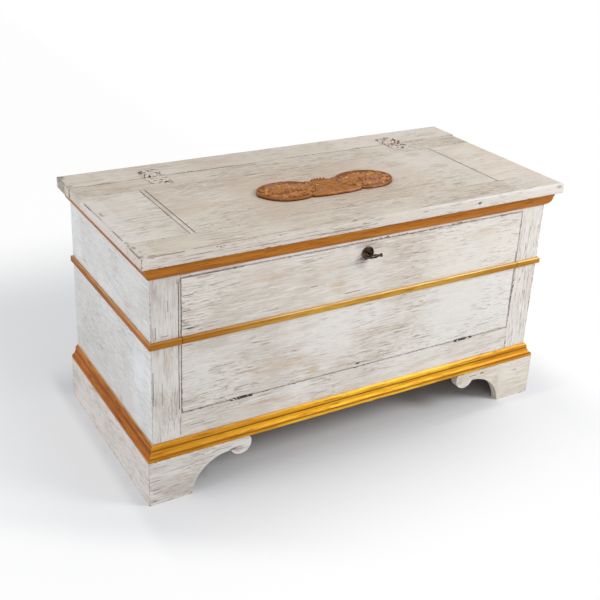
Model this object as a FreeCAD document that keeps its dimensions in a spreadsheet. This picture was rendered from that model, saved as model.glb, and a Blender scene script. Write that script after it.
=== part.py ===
import FreeCAD, Part
import os
import re
import Sketcher

# A painted storage chest with a hinged lid and a fall front, one solid for each piece.
# Millimetres. X runs to the right, Y to the back and Z up.
# The origin is the middle of the floor outline, under the middle of the lid's depth.

# The driving dimensions: alias, value, and what it measures.
DRIVING = (
    ("case_width", 1200, "case across its side boards"),
    ("case_depth", 566, "case from its front face to its back face"),
    ("body_height", 527, "side boards, from plinth to top edge"),
    ("board", 22, "side and front boards, thickness"),
    ("back_thick", 15, "back boards, thickness"),
    ("back_lap", 11, "back boards, lap into the rabbets of the sides"),
    ("floor_thick", 15, "bottom boards, thickness"),
    ("cleat", 24, "cleats under the bottom boards, square section"),
    ("bearer_width", 40, "middle bearer under the bottom boards, width"),
    ("stile_width", 77, "front stiles, width on the face"),
    ("top_rail_height", 50, "front top rail, height"),
    ("bottom_rail_height", 108, "front bottom rail, height"),
    ("tenon_long", 30, "rail tenons, length"),
    ("tenon_thick", 8, "rail tenons, thickness"),
    ("tenon_shoulder", 9, "rail tenons, shoulder above and below"),
    ("fit_gap", 0.1, "play of wood joints and of screws in their holes"),
    ("overrun", 5, "how far a cutting shape runs past what it cuts"),
    ("seat_gap", 0.3, "between the lid and the case it rests on"),
    ("plinth_height", 126, "plinth, from the floor to the case"),
    ("plinth_thick", 25, "plinth boards, thickness"),
    ("plinth_reveal", 20, "plinth face in front of the case face"),
    ("foot_width", 116, "bracket foot, width at the floor"),
    ("arch_width", 109.5, "bracket foot, hollow curve from the foot to the cusp, along the front"),
    ("arch_height", 98, "bracket foot, cusp above the floor"),
    ("arch_rise", 28, "bracket foot, depth of the hollow curve"),
    ("scroll_width", 59, "bracket foot, scroll from the cusp to its nose"),
    ("scroll_rise", 24.2, "bracket foot, depth of the scroll's curve"),
    ("scroll_lift", 10, "bracket foot, nose of the scroll above the cusp"),
    ("scroll_turn", 6, "bracket foot, how far the scroll turns back above its nose"),
    ("block_size", 45, "corner blocks behind the bracket feet, square section"),
    ("block_lift", 3, "corner blocks, height above the floor"),
    ("base_mould_height", 38, "base moulding, height"),
    ("mid_mould_height", 17, "middle moulding, height"),
    ("mid_mould_depth", 8, "middle moulding, depth"),
    ("mid_mould_level", 313, "middle moulding, its middle above the plinth"),
    ("lid_mould_height", 42, "lid moulding, height"),
    ("lid_mould_depth", 17, "lid moulding, depth"),
    ("lid_mould_gap", 1, "lid moulding, clear of the case"),
    ("lid_thick", 28, "lid, thickness"),
    ("side_overhang", 31, "lid beyond the case at each side"),
    ("front_overhang", 34, "lid beyond the case at the front"),
    ("rear_overhang", 4, "hinge strip beyond the case at the back"),
    ("strip_depth", 101, "hinge strip, front to back"),
    ("strip_excess", 2, "hinge strip beyond the lid at each end"),
    ("strip_gap", 1.5, "between the hinge strip and the lid"),
    ("lid_round", 6, "rounding of the lid's upper edge"),
    ("lid_front_width", 95, "lid's front rail, front to back"),
    ("lid_rear_width", 85, "lid's rear rail, front to back"),
    ("lid_end_width", 159.5, "lid's end boards, along the lid"),
    ("lid_panel_gap", 1.2, "open joint at both ends of the lid panel"),
    ("lid_bead_place", 14, "scratched line on the lid panel, from its left end"),
    ("lid_bead_width", 1.6, "scratched line on the lid panel, width"),
    ("tongue_thick", 8, "tongues of the lid, thickness"),
    ("tongue_long", 9.5, "tongues of the lid, length"),
    ("tongue_space", 0.5, "space at the bottom of a groove"),
    ("ornament_place", 121, "centre of each oval of the ornament, from the middle"),
    ("ornament_long", 88, "half length of each oval"),
    ("ornament_wide", 67, "half width of each oval"),
    ("ornament_thick", 9, "ornament, thickness"),
    ("flap_side_gap", 1.7, "open joint at each side of the fall front"),
    ("flap_top_gap", 2, "open joint above the fall front"),
    ("flap_low_gap", 2, "open joint below the fall front"),
    ("stop_width", 34, "stop battens behind the fall front, width"),
    ("stop_thick", 20, "stop battens, thickness"),
    ("stop_lap", 12, "stop battens, lap behind the fall front"),
    ("stop_gap", 0.4, "between the closed fall front and its stops"),
    ("lid_hinge_inset", 237, "lid hinges, from the ends of the lid"),
    ("lid_leaf_width", 57, "lid hinge leaves, along the pin"),
    ("lid_leaf_reach", 56, "lid hinge leaves, from the pin to the tip"),
    ("lid_leaf_thick", 2.5, "lid hinge leaves, thickness"),
    ("lid_leaf_bow", 9, "lid hinge leaves, curve of the tip"),
    ("lid_barrel", 4, "lid hinge barrel, radius"),
    ("lid_barrel_lift", 4.5, "lid hinge pin, height above the lid"),
    ("lid_pin", 1.8, "lid hinge pin, radius"),
    ("flap_hinge_inset", 164.3, "fall front hinges, from the ends of the fall front"),
    ("flap_leaf_width", 60, "fall front hinge leaves, along the pin"),
    ("flap_leaf_reach", 19, "fall front hinge leaves, from the pin to the edge"),
    ("flap_leaf_thick", 2, "fall front hinge leaves, thickness"),
    ("flap_barrel", 3, "fall front hinge barrel, radius"),
    ("flap_barrel_lift", 2.3, "fall front hinge pin, above the lower face of its leaf"),
    ("flap_pin_out", 1, "fall front hinge pin, in front of the case face"),
    ("flap_pin", 1.4, "fall front hinge pin, radius"),
    ("pin_play", 0.05, "radial play of a pin in its barrel"),
    ("knuckle_gap", 0.35, "between the knuckles of a hinge, and round a barrel"),
    ("head_radius", 3.4, "screw head, radius"),
    ("head_depth", 1.9, "screw head, depth of its cone"),
    ("shank_radius", 1.6, "screw shank, radius"),
    ("screw_long", 18, "hinge and lock screws, length"),
    ("lock_width", 58, "lock plate, width"),
    ("lock_deep", 14, "lock, let into the fall front"),
    ("lock_wall", 3, "lock plate and walls of the lock case, thickness"),
    ("lock_screw_edge", 4.5, "lock screws, from the side edges of the plate"),
    ("key_drop", 30, "key's axis below the top edge of the fall front"),
    ("bolt_thick", 5, "bolt, thickness"),
    ("bolt_rim", 4, "frame of the bolt round the window that the key's bit turns in"),
    ("bolt_head_width", 22, "bolt's head, width"),
    ("bolt_play", 0.4, "play round the bolt"),
    ("rose_radius", 17.5, "rose, radius"),
    ("rose_thick", 6, "rose, thickness"),
    ("rose_rim", 3.5, "rose, width of its rim"),
    ("rose_dish", 3, "rose, depth of the dish inside its rim"),
    ("key_radius", 3, "key's stem, radius"),
    ("key_play", 0.08, "radial play of the key in the rose"),
    ("key_bore_play", 1, "radial play of the key in the wood and the lock case"),
    ("key_reach", 28, "key's handle bar, from the case face"),
    ("bit_long", 12, "key's bit, from the key's axis, and the bolt's travel"),
    ("bit_thick", 3, "key's bit, thickness"),
    ("bar_half", 26.5, "key's handle bar, half length"),
    ("bar_radius", 5.4, "key's handle bar, radius at its middle and ends"),
    ("bar_neck", 3.4, "key's handle bar, radius at its necks"),
    ("strike_width", 60, "strike plate, length"),
    ("strike_deep", 16, "strike plate, width"),
    ("strike_thick", 2, "strike plate, thickness"),
)

# What follows from them, as formulas of the sheet.
DERIVED = (
    ("half_width", "case_width / 2", "case, half width"),
    ("case_front", "(front_overhang - case_depth - rear_overhang) / 2", "front face of the case"),
    ("case_back", "case_front + case_depth", "back face of the case"),
    ("inner_front", "case_front + board", "inside of the front boards"),
    ("inner_back", "case_back - back_thick", "inside of the back boards"),
    ("inner_half", "half_width - board", "inside of the side boards"),
    ("case_top", "plinth_height + body_height", "top edge of the case"),
    ("stile_inner", "half_width - stile_width", "inner edge of the front stiles"),
    ("rail_top", "plinth_height + bottom_rail_height", "top edge of the bottom rail"),
    ("opening_top", "case_top - top_rail_height", "lower edge of the top rail"),
    ("flap_low", "rail_top + flap_low_gap", "lower edge of the fall front"),
    ("flap_high", "opening_top - flap_top_gap", "upper edge of the fall front"),
    ("flap_half", "stile_inner - flap_side_gap", "fall front, half width"),
    ("lid_under", "case_top + seat_gap", "lower face of the lid"),
    ("lid_top", "lid_under + lid_thick", "upper face of the lid"),
    ("lid_half", "half_width + side_overhang", "lid, half width"),
    ("lid_front", "case_front - front_overhang", "front edge of the lid"),
    ("strip_front", "case_back + rear_overhang - strip_depth", "front edge of the hinge strip"),
    ("strip_half", "lid_half + strip_excess", "hinge strip, half length"),
    ("lid_back", "strip_front - strip_gap", "back edge of the lid"),
    ("lid_hinge_place", "lid_half - lid_hinge_inset", "lid hinges, from the middle"),
    ("lid_hinge_y", "strip_front - strip_gap / 2", "lid hinge pin, front to back"),
    ("lid_hinge_z", "lid_top + lid_barrel_lift", "lid hinge pin, height"),
    ("panel_front", "lid_front + lid_front_width", "front joint of the lid panel"),
    ("panel_back", "lid_back - lid_rear_width", "back joint of the lid panel"),
    ("panel_half", "lid_half - lid_end_width", "end joints of the lid panel"),
    ("groove_deep", "tongue_long + tongue_space", "grooves of the lid, depth"),
    ("lid_middle_z", "(lid_under + lid_top) / 2", "middle of the lid's thickness"),
    ("lid_middle_y", "(lid_front + lid_back) / 2", "middle of the lid's depth"),
    ("plinth_half", "half_width + plinth_reveal", "plinth, half width"),
    ("plinth_front", "case_front - plinth_reveal", "front face of the plinth"),
    ("foot_inner", "plinth_half - foot_width", "inner edge of a bracket foot at the floor"),
    ("cusp", "foot_inner - arch_width", "cusp of the bracket"),
    ("nose", "cusp - scroll_width", "nose of the bracket's scroll"),
    ("nose_level", "arch_height + scroll_lift", "nose of the bracket's scroll, height"),
    ("turn_radius", "((plinth_height - nose_level)^2 + scroll_turn^2) / (2 * scroll_turn)",
     "radius of the scroll above its nose"),
    ("turn_rise", "turn_radius - sqrt(turn_radius^2 - turn_radius * scroll_turn / 2)",
     "depth of the curve above the nose"),
    ("mid_low", "plinth_height + mid_mould_level - mid_mould_height / 2", "middle moulding, lower edge"),
    ("flap_hinge_place", "flap_half - flap_hinge_inset", "fall front hinges, from the middle"),
    ("flap_hinge_y", "case_front - flap_pin_out", "fall front hinge pin, front to back"),
    ("flap_hinge_z", "(rail_top + flap_low) / 2", "fall front hinge pin, height"),
    ("lock_back", "inner_front", "back of the lock case"),
    ("lock_front", "inner_front - lock_deep", "front of the lock case"),
    ("key_z", "flap_high - key_drop", "key's axis, height"),
    ("window_half", "bit_long + 2 * bolt_play", "window of the bolt, half width"),
    ("window_low", "bit_long + key_radius + bolt_play", "window of the bolt, below the key's axis"),
    ("window_high", "bit_long * 0.22 + bit_thick / 2 + bolt_play",
     "window of the bolt, above the key's axis"),
    ("bolt_half", "window_half + bolt_rim", "bolt's tail, half width"),
    ("bolt_low", "key_z - window_low - bolt_rim", "lower end of the bolt's tail"),
    ("bolt_step", "key_z + window_high + bolt_rim", "upper end of the bolt's tail"),
    ("lock_low", "bolt_low - bolt_play - lock_wall", "lower end of the lock case"),
    ("bolt_back", "lock_back - lock_wall - bolt_play", "back face of the bolt"),
    ("bolt_front", "bolt_back - bolt_thick", "front face of the bolt"),
    ("bolt_top", "flap_high - seat_gap", "top of the drawn back bolt"),
)

ALIASES = {entry[0] for entry in DRIVING + DERIVED}
WORD = re.compile(r"[a-z_]+")

# Where the screws of a leaf sit: shares of its half width and of its reach.
LID_SCREW_SHARES = ((-0.62, 0.42), (0, 0.80), (0.62, 0.42))
FLAP_SCREW_SHARES = ((-0.66, 0.62), (0, 0.62), (0.66, 0.62))

# Sections of the mouldings from bottom to top: shares of the depth and of the height.
# A third share is the bulge of a curve up to the next corner, as a share of the depth.
LID_SECTION_SHARES = ((0.06, 0, 0.24), (0.88, 0.62), (1, 0.72), (1, 1))
MID_SECTION_SHARES = ((0.8, 0), (1, 0.12, 0.04), (1, 0.86), (0.75, 1))
BASE_SECTION_SHARES = (
    (1, 0, 0.03), (1, 0.2), (0.88, 0.22), (0.86, 0.26, -0.07), (0.5, 0.54),
    (0.38, 0.58, 0.15), (0.12, 1),
)

# Outline of the ornament's middle below its crown: shares of the ovals' place and half width.
RIBBON_SHARES = (
    (-0.68, -0.7), (-0.6, -0.98), (-0.3, -1.06), (0.3, -1.06), (0.6, -0.98), (0.68, -0.7),
    (0.5, 0.68), (0.27, 0.56), (-0.27, 0.56), (-0.5, 0.68),
)
CROWN_LOBES = 5

# The key's handle bar, half of it: shares of its half length, and radius as neck or full.
BAR_NECK_SHARES = (0.3, 0.5, 0.72)
BAR_END_SHARE = 0.92

doc = FreeCAD.newDocument("StorageChest")
sizes = doc.addObject("Spreadsheet::Sheet", "Size")
nodes = []


def fill_sheet():
    """Writes the driving dimensions and what follows from them into the sheet."""
    sizes.set("A1", "dimension")
    sizes.set("B1", "millimetres")
    rows = [(alias, str(value), note) for alias, value, note in DRIVING]
    rows += [(alias, "=" + formula, note) for alias, formula, note in DERIVED]
    for row, (alias, content, note) in enumerate(rows, start=2):
        sizes.set("A%d" % row, note)
        sizes.set("B%d" % row, content)
        sizes.setAlias("B%d" % row, alias)
    doc.recompute()


def refer(formula):
    """The formula with the sheet's name in front of each alias."""
    return WORD.sub(lambda word: ("Size." if word.group() in ALIASES else "") + word.group(), formula)


def number(formula):
    """What a formula of the sheet comes to now."""
    return float(sizes.evalExpression(refer(formula)))


def place(thing, x="", y="", z=""):
    """Binds the placement of a thing to formulas."""
    for axis, formula in (("x", x), ("y", y), ("z", z)):
        if formula:
            thing.setExpression("Placement.Base." + axis, refer(formula))


def turn(thing, axis, angle):
    """Turns a thing about one axis of its own frame."""
    thing.Placement = FreeCAD.Placement(FreeCAD.Vector(), FreeCAD.Rotation(FreeCAD.Vector(*axis), angle))


def node(name, thing):
    """Names a finished piece, which becomes a file of that name."""
    thing.Label = name
    nodes.append(thing)
    return thing


def box(name, x, y, z):
    """A block between two formulas along each axis."""
    block = doc.addObject("Part::Box", name)
    for side, axis, (low, high) in (("Length", "x", x), ("Width", "y", y), ("Height", "z", z)):
        block.setExpression(side, refer("(%s) - (%s)" % (high, low)))
        block.setExpression("Placement.Base." + axis, refer(low))
    return block


def fuse(name, parts):
    """The union of several solids, or a group of them where they lie apart."""
    union = doc.addObject("Part::MultiFuse", name)
    union.Shapes = parts
    return union


def cut(name, base, tools):
    """A solid less one or more others."""
    rest = doc.addObject("Part::Cut", name)
    rest.Base = base
    rest.Tool = tools[0] if len(tools) == 1 else fuse(name + "Tools", tools)
    return rest


def body(name):
    return doc.addObject("PartDesign::Body", name)


def drawing(owner, role, height=""):
    """A sketch on one of the body's own planes, raised to a height above it."""
    sheet = owner.newObject("Sketcher::SketchObject", owner.Name + "Sketch")
    plane = [feature for feature in owner.Origin.OriginFeatures if feature.Role == role][0]
    sheet.AttachmentSupport = [(plane, "")]
    sheet.MapMode = "FlatFace"
    if height:
        sheet.setExpression("AttachmentOffset.Base.z", refer(height))
    return sheet


def fix(sheet, kind, items, formula):
    """Adds one dimension to a sketch and binds it to a formula."""
    index = sheet.addConstraint(Sketcher.Constraint(kind, *items, number(formula)))
    sheet.setExpression("Constraints[%d]" % index, refer(formula))


def outline(sheet, corners):
    """A closed outline. A corner is two formulas, and a third one bulges the side after it."""
    spots = [FreeCAD.Vector(number(corner[0]), number(corner[1]), 0) for corner in corners]
    sides = []
    for here, corner in enumerate(corners):
        following = (here + 1) % len(corners)
        start, end = spots[here], spots[following]
        curved = len(corner) > 2
        if curved:
            chord = end - start
            across = FreeCAD.Vector(chord.y, -chord.x, 0).normalize()
            piece = Part.Arc(start, (start + end) / 2 + across * number(corner[2]), end)
        else:
            piece = Part.LineSegment(start, end)
        side = sheet.addGeometry(piece)
        near = sheet.getPoint(side, 1).distanceToPoint(start)
        far = sheet.getPoint(side, 2).distanceToPoint(start)
        sides.append((side, 1, 2) if near < far else (side, 2, 1))
        if curved:
            after = corners[following]
            square = "((%s) - (%s))^2 + ((%s) - (%s))^2" % (after[0], corner[0], after[1], corner[1])
            radius = "((%s) / 4 + (%s)^2) / (2 * abs(%s))" % (square, corner[2], corner[2])
            fix(sheet, "Radius", (side,), radius)
    for here, (side, first, last) in enumerate(sides):
        following, its_first, unused = sides[(here + 1) % len(sides)]
        sheet.addConstraint(Sketcher.Constraint("Coincident", side, last, following, its_first))
        fix(sheet, "DistanceX", (-1, 1, side, first), corners[here][0])
        fix(sheet, "DistanceY", (-1, 1, side, first), corners[here][1])


def rectangle(sheet, x, y):
    """A rectangle between two formulas along each axis of the sketch."""
    outline(sheet, ((x[0], y[0]), (x[1], y[0]), (x[1], y[1]), (x[0], y[1])))


def circle(sheet, x, y, radius):
    centre = FreeCAD.Vector(number(x), number(y), 0)
    ring = sheet.addGeometry(Part.Circle(centre, FreeCAD.Vector(0, 0, 1), number(radius)))
    fix(sheet, "Radius", (ring,), radius)
    fix(sheet, "DistanceX", (-1, 1, ring, 3), x)
    fix(sheet, "DistanceY", (-1, 1, ring, 3), y)


def pad(owner, sheet, length, both=False):
    """Adds material along a sketch's normal, to one side or evenly to both."""
    feature = owner.newObject("PartDesign::Pad", owner.Name + "Pad")
    feature.Profile = sheet
    feature.setExpression("Length", refer(length))
    feature.SideType = "Symmetric" if both else "One side"
    doc.recompute()
    return feature


def pocket(owner, sheet, depth="", forward=False):
    """Removes material along a sketch's normal: right through both ways, or to a depth one way."""
    before = owner.Shape.Volume
    feature = owner.newObject("PartDesign::Pocket", owner.Name + "Pocket")
    feature.Profile = sheet
    if depth:
        feature.setExpression("Length", refer(depth))
        feature.Reversed = forward
    else:
        feature.Type = "ThroughAll"
        feature.SideType = "Symmetric"
    doc.recompute()
    if not owner.Shape.Volume < before:
        raise RuntimeError("a pocket of %s cuts nothing" % owner.Name)
    return feature


def soften(owner, feature, radius, test):
    """Rounds the edges of a feature whose bounding boxes pass a test."""
    edges = enumerate(feature.Shape.Edges, start=1)
    chosen = ["Edge%d" % count for count, edge in edges if test(edge.BoundBox)]
    fillet = owner.newObject("PartDesign::Fillet", owner.Name + "Fillet")
    fillet.Base = (feature, chosen)
    fillet.setExpression("Radius", refer(radius))
    doc.recompute()
    return fillet


def prism(name, role, low, high, corners):
    """A body padded from one outline, between two places along the plane's axis."""
    owner = body(name)
    start = "-(%s)" % high if role == "XZ_Plane" else low
    sheet = drawing(owner, role, start)
    outline(sheet, corners)
    pad(owner, sheet, "(%s) - (%s)" % (high, low))
    return owner


def signed(sign, formula):
    return "%d * (%s)" % (sign, formula)


def spread(sign, low, high):
    """A stretch beside the middle, mirrored to the left where sign is negative."""
    return (low, high) if sign > 0 else ("-(%s)" % high, "-(%s)" % low)


SIDES = (("left", -1), ("right", 1))


def side_boards():
    """The two sides: mitred to the front stiles, rabbeted for the back boards."""
    for side, sign in SIDES:
        corners = (
            (signed(sign, "half_width"), "case_front"),
            (signed(sign, "half_width"), "case_back"),
            (signed(sign, "inner_half + back_lap"), "case_back"),
            (signed(sign, "inner_half + back_lap"), "inner_back"),
            (signed(sign, "inner_half"), "inner_back"),
            (signed(sign, "inner_half"), "inner_front"),
        )
        name = "side_board_" + side
        node(name, prism(name, "XY_Plane", "plinth_height", "case_top", corners))


def front_stiles():
    """The two stiles, mitred to the sides, with mortises for both rails."""
    middle = "(case_front + inner_front) / 2"
    thick = ("%s - tenon_thick / 2 - fit_gap" % middle, "%s + tenon_thick / 2 + fit_gap" % middle)
    heights = (
        ("plinth_height + tenon_shoulder - fit_gap", "rail_top - tenon_shoulder + fit_gap"),
        ("opening_top + tenon_shoulder - fit_gap", "case_top - tenon_shoulder + fit_gap"),
    )
    for side, sign in SIDES:
        corners = (
            (signed(sign, "half_width"), "case_front"),
            (signed(sign, "stile_inner"), "case_front"),
            (signed(sign, "stile_inner"), "inner_front"),
            (signed(sign, "inner_half"), "inner_front"),
        )
        name = "front_stile_" + side
        stile = prism(name, "XY_Plane", "plinth_height", "case_top", corners)
        sheet = drawing(stile, "YZ_Plane", signed(sign, "stile_inner"))
        for height in heights:
            rectangle(sheet, thick, height)
        pocket(stile, sheet, "tenon_long + fit_gap", forward=sign > 0)
        node(name, stile)


def front_rail(name, low, high):
    """A rail between the stiles with a tenon at each end."""
    rail = body(name)
    section = drawing(rail, "YZ_Plane")
    rectangle(section, ("case_front", "inner_front"), (low, high))
    pad(rail, section, "2 * stile_inner", both=True)
    middle = "(case_front + inner_front) / 2"
    tenon = drawing(rail, "YZ_Plane")
    thick = ("%s - tenon_thick / 2" % middle, "%s + tenon_thick / 2" % middle)
    rectangle(tenon, thick, ("%s + tenon_shoulder" % low, "%s - tenon_shoulder" % high))
    pad(rail, tenon, "2 * (stile_inner + tenon_long)", both=True)
    return rail


def back_and_floor():
    """Two back boards in the rabbets, two bottom boards on cleats and a bearer."""
    halfway = "(plinth_height + case_top) / 2"
    lap = ("-(inner_half + back_lap)", "inner_half + back_lap")
    deep = ("inner_back", "case_back")
    node("back_board_lower", box("BackLower", lap, deep, ("plinth_height", halfway)))
    node("back_board_upper", box("BackUpper", lap, deep, (halfway, "case_top")))
    inside = ("-inner_half", "inner_half")
    under = ("plinth_height", "plinth_height + cleat")
    top = ("plinth_height + cleat", "plinth_height + cleat + floor_thick")
    middle = "(inner_front + inner_back) / 2"
    node("bottom_board_front", box("FloorFront", inside, ("inner_front", middle), top))
    node("bottom_board_rear", box("FloorRear", inside, (middle, "inner_back"), top))
    long_way = ("inner_front", "inner_back")
    for side, sign in SIDES:
        across = spread(sign, "inner_half - cleat", "inner_half")
        node("cleat_" + side, box("Cleat" + side, across, long_way, under))
    node("middle_bearer", box("Bearer", ("-bearer_width / 2", "bearer_width / 2"), long_way, under))


def stop_battens():
    """Battens behind the stiles that the fall front closes against."""
    inner = "flap_half - stop_lap"
    for side, sign in SIDES:
        wide = spread(sign, inner, inner + " + stop_width")
        thick = ("inner_front", "inner_front + stop_thick")
        batten = box("Stop" + side, wide, thick, ("rail_top", "opening_top"))
        behind = spread(sign, inner + " - overrun", "stile_inner")
        relief = box("StopRelief" + side, behind, ("inner_front - overrun", "inner_front + stop_gap"),
                     ("rail_top - overrun", "opening_top + overrun"))
        node("flap_stop_" + side, cut("StopCut" + side, batten, [relief]))


def plinth():
    """Bracket feet with scrolls at the front, plain boards at the sides and the back."""
    for side, sign in SIDES:
        bulge = "-(%s)" if sign > 0 else "%s"
        corners = (
            (signed(sign, "plinth_half"), "0"),
            (signed(sign, "foot_inner"), "0", "-(%s)" % (bulge % "arch_rise")),
            (signed(sign, "cusp"), "arch_height", bulge % "scroll_rise"),
            (signed(sign, "nose"), "nose_level", bulge % "turn_rise"),
            (signed(sign, "nose + scroll_turn"), "plinth_height"),
            (signed(sign, "plinth_half"), "plinth_height"),
        )
        name = "bracket_foot_" + side
        foot = prism(name, "XZ_Plane", "plinth_front", "plinth_front + plinth_thick", corners)
        mitre = drawing(foot, "XY_Plane")
        outline(mitre, (
            (signed(sign, "plinth_half"), "plinth_front"),
            (signed(sign, "plinth_half + overrun"), "plinth_front"),
            (signed(sign, "plinth_half + overrun"), "plinth_front + plinth_thick + overrun"),
            (signed(sign, "plinth_half - plinth_thick - overrun"), "plinth_front + plinth_thick + overrun"),
        ))
        pocket(foot, mitre)
        node(name, foot)
        board_name = "plinth_side_" + side
        node(board_name, prism(board_name, "XY_Plane", "0", "plinth_height", (
            (signed(sign, "plinth_half"), "plinth_front"),
            (signed(sign, "plinth_half"), "case_back"),
            (signed(sign, "plinth_half - plinth_thick"), "case_back"),
            (signed(sign, "plinth_half - plinth_thick"), "plinth_front + plinth_thick"),
        )))
        across = spread(sign, "plinth_half - plinth_thick - block_size", "plinth_half - plinth_thick")
        along = ("plinth_front + plinth_thick", "plinth_front + plinth_thick + block_size")
        node("corner_block_" + side, box("Block" + side, across, along, ("block_lift", "plinth_height")))
    across = ("plinth_thick - plinth_half", "plinth_half - plinth_thick")
    along = ("case_back - plinth_thick", "case_back")
    node("plinth_back", box("PlinthBack", across, along, ("0", "plinth_height")))


def moulded(name, length, left_mitre, right_mitre, depth, height, shares):
    """A length of moulding along X with its back at Y zero: cut to length, mitred, then moulded.
    A mitre of one lengthens the front edge by the depth, and a mitre of zero is a square end."""
    strip = body(name)
    plan = drawing(strip, "XY_Plane")
    outline(plan, (
        ("-(%s) / 2 - %d * %s" % (length, left_mitre, depth), "-(%s)" % depth),
        ("(%s) / 2 + %d * %s" % (length, right_mitre, depth), "-(%s)" % depth),
        ("(%s) / 2" % length, "0"),
        ("-(%s) / 2" % length, "0"),
    ))
    pad(strip, plan, height)
    waste = drawing(strip, "YZ_Plane")
    corners = []
    for share in shares:
        spot = ("-(%s) * %s" % (depth, share[0]), "(%s) * %s" % (height, share[1]))
        bulge = ("(%s) * %s" % (depth, -share[2]),) if len(share) > 2 else ()
        corners.append(spot + bulge)
    top_depth, low_depth = shares[-1][0], shares[0][0]
    corners += [
        ("-(%s) * %s" % (depth, top_depth), "%s + overrun" % height),
        ("-(%s) - overrun" % depth, "%s + overrun" % height),
        ("-(%s) - overrun" % depth, "-overrun"),
        ("-(%s) * %s" % (depth, low_depth), "-overrun"),
    ]
    outline(waste, corners)
    pocket(strip, waste)
    return strip


def moulding(name, *sizes):
    """One moulding that is a piece of its own."""
    return node(name, moulded(name, *sizes))


def wrap(kind, gap, depth, height, shares, low, back, front_name):
    """The side mouldings of a run round the case: mitred in front, square behind."""
    long_way = "%s - case_front + %s" % (back, gap)
    for side, sign in SIDES:
        left_mitre, right_mitre = (0, 1) if sign < 0 else (1, 0)
        strip = moulding("%s_%s" % (kind, side), long_way, left_mitre, right_mitre, depth, height, shares)
        turn(strip, (0, 0, 1), sign * 90)
        place(strip, signed(sign, "half_width + %s" % gap), "(%s + case_front - %s) / 2" % (back, gap), low)
    if front_name:
        run = moulding(front_name, "2 * (half_width + %s)" % gap, 1, 1, depth, height, shares)
        place(run, "", "case_front - %s" % gap, low)


def mouldings():
    """Base, middle and lid mouldings. The middle one is cut in three at the fall front."""
    flat = "0"
    wrap("base_moulding", flat, "plinth_reveal", "base_mould_height", BASE_SECTION_SHARES,
         "plinth_height", "case_back", "base_moulding_front")
    wrap("mid_moulding", flat, "mid_mould_depth", "mid_mould_height", MID_SECTION_SHARES,
         "mid_low", "case_back", "")
    for side, sign in SIDES:
        left_mitre, right_mitre = (1, 0) if sign < 0 else (0, 1)
        piece = moulding("mid_moulding_stile_" + side, "stile_width", left_mitre, right_mitre,
                         "mid_mould_depth", "mid_mould_height", MID_SECTION_SHARES)
        place(piece, signed(sign, "half_width - stile_width / 2"), "case_front", "mid_low")
    piece = moulding("mid_moulding_flap", "2 * flap_half", 0, 0, "mid_mould_depth", "mid_mould_height",
                     MID_SECTION_SHARES)
    place(piece, "", "case_front", "mid_low")
    wrap("lid_moulding", "lid_mould_gap", "lid_mould_depth", "lid_mould_height", LID_SECTION_SHARES,
         "lid_under - lid_mould_height", "lid_back", "lid_moulding_front")

    # the lid moulding goes on below the hinge strip, fixed to the case
    ends = []
    for side, sign in SIDES:
        end = moulded("StripMoulding" + side, "case_back - strip_front", 0, 0,
                      "(lid_mould_depth + lid_mould_gap)", "lid_mould_height - seat_gap", LID_SECTION_SHARES)
        turn(end, (0, 0, 1), sign * 90)
        place(end, signed(sign, "half_width"), "(case_back + strip_front) / 2",
              "lid_under - lid_mould_height")
        ends.append(end)
    node("strip_mouldings", fuse("StripMouldings", ends))


def screws(name, spots, angle):
    """Countersunk screws with their heads at the spots, and a matching group of holes.
    The angle turns them about X: 0 drives them up, 90 to the front and 180 down."""
    groups = []
    for kind, play in (("", "0"), ("Hole", "fit_gap")):
        solids = []
        for index, (x, y, z) in enumerate(spots):
            head = doc.addObject("Part::Cone", "%s%sHead%d" % (name, kind, index))
            head.setExpression("Radius1", refer("head_radius + %s" % play))
            head.setExpression("Radius2", refer("shank_radius + %s" % play))
            head.setExpression("Height", refer("head_depth"))
            shank = doc.addObject("Part::Cylinder", "%s%sShank%d" % (name, kind, index))
            shank.setExpression("Radius", refer("shank_radius + %s" % play))
            shank.setExpression("Height", refer("screw_long + %s" % play))
            for solid in (head, shank):
                turn(solid, (1, 0, 0), angle)
                place(solid, x, y, z)
                solids.append(solid)
        groups.append(fuse(name + kind, solids))
    return groups


def hinge_leaf(name, kind, knuckles):
    """One leaf of a hinge about its pin: a plate behind the pin and every second knuckle.
    Knuckles of 0 takes the outer ones and the middle one, and 1 the two between."""
    width, reach, thick = (kind + "_leaf_width", kind + "_leaf_reach", kind + "_leaf_thick")
    barrel, pin, lift = (kind + "_barrel", kind + "_pin", kind + "_barrel_lift")
    leaf = body(name)
    plate = drawing(leaf, "XY_Plane", "-" + lift)
    half, near = "%s / 2" % width, "%s / 2" % barrel
    far = [(half, reach), ("-" + half, reach)]
    if kind == "lid":
        far = [(half, reach + " - lid_leaf_bow", "lid_leaf_bow"), ("-" + half, reach + " - lid_leaf_bow")]
    outline(plate, [("-" + half, near), (half, near)] + far)
    pad(leaf, plate, thick)
    roll = drawing(leaf, "YZ_Plane")
    circle(roll, "0", "0", barrel)
    pad(leaf, roll, width, both=True)
    bore = drawing(leaf, "YZ_Plane")
    circle(bore, "0", "0", "%s + pin_play" % pin)
    pocket(leaf, bore)
    notches = drawing(leaf, "XY_Plane")
    for index in range(5):
        if index % 2 == knuckles:
            continue
        low = "%s * (%d / 5 - 1 / 2) - knuckle_gap / 2" % (width, index)
        high = "%s * (%d / 5 - 1 / 2) + knuckle_gap / 2" % (width, index + 1)
        rectangle(notches, (low, high), ("-%s - overrun" % barrel, "%s + knuckle_gap" % barrel))
    pocket(leaf, notches)
    return leaf


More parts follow.
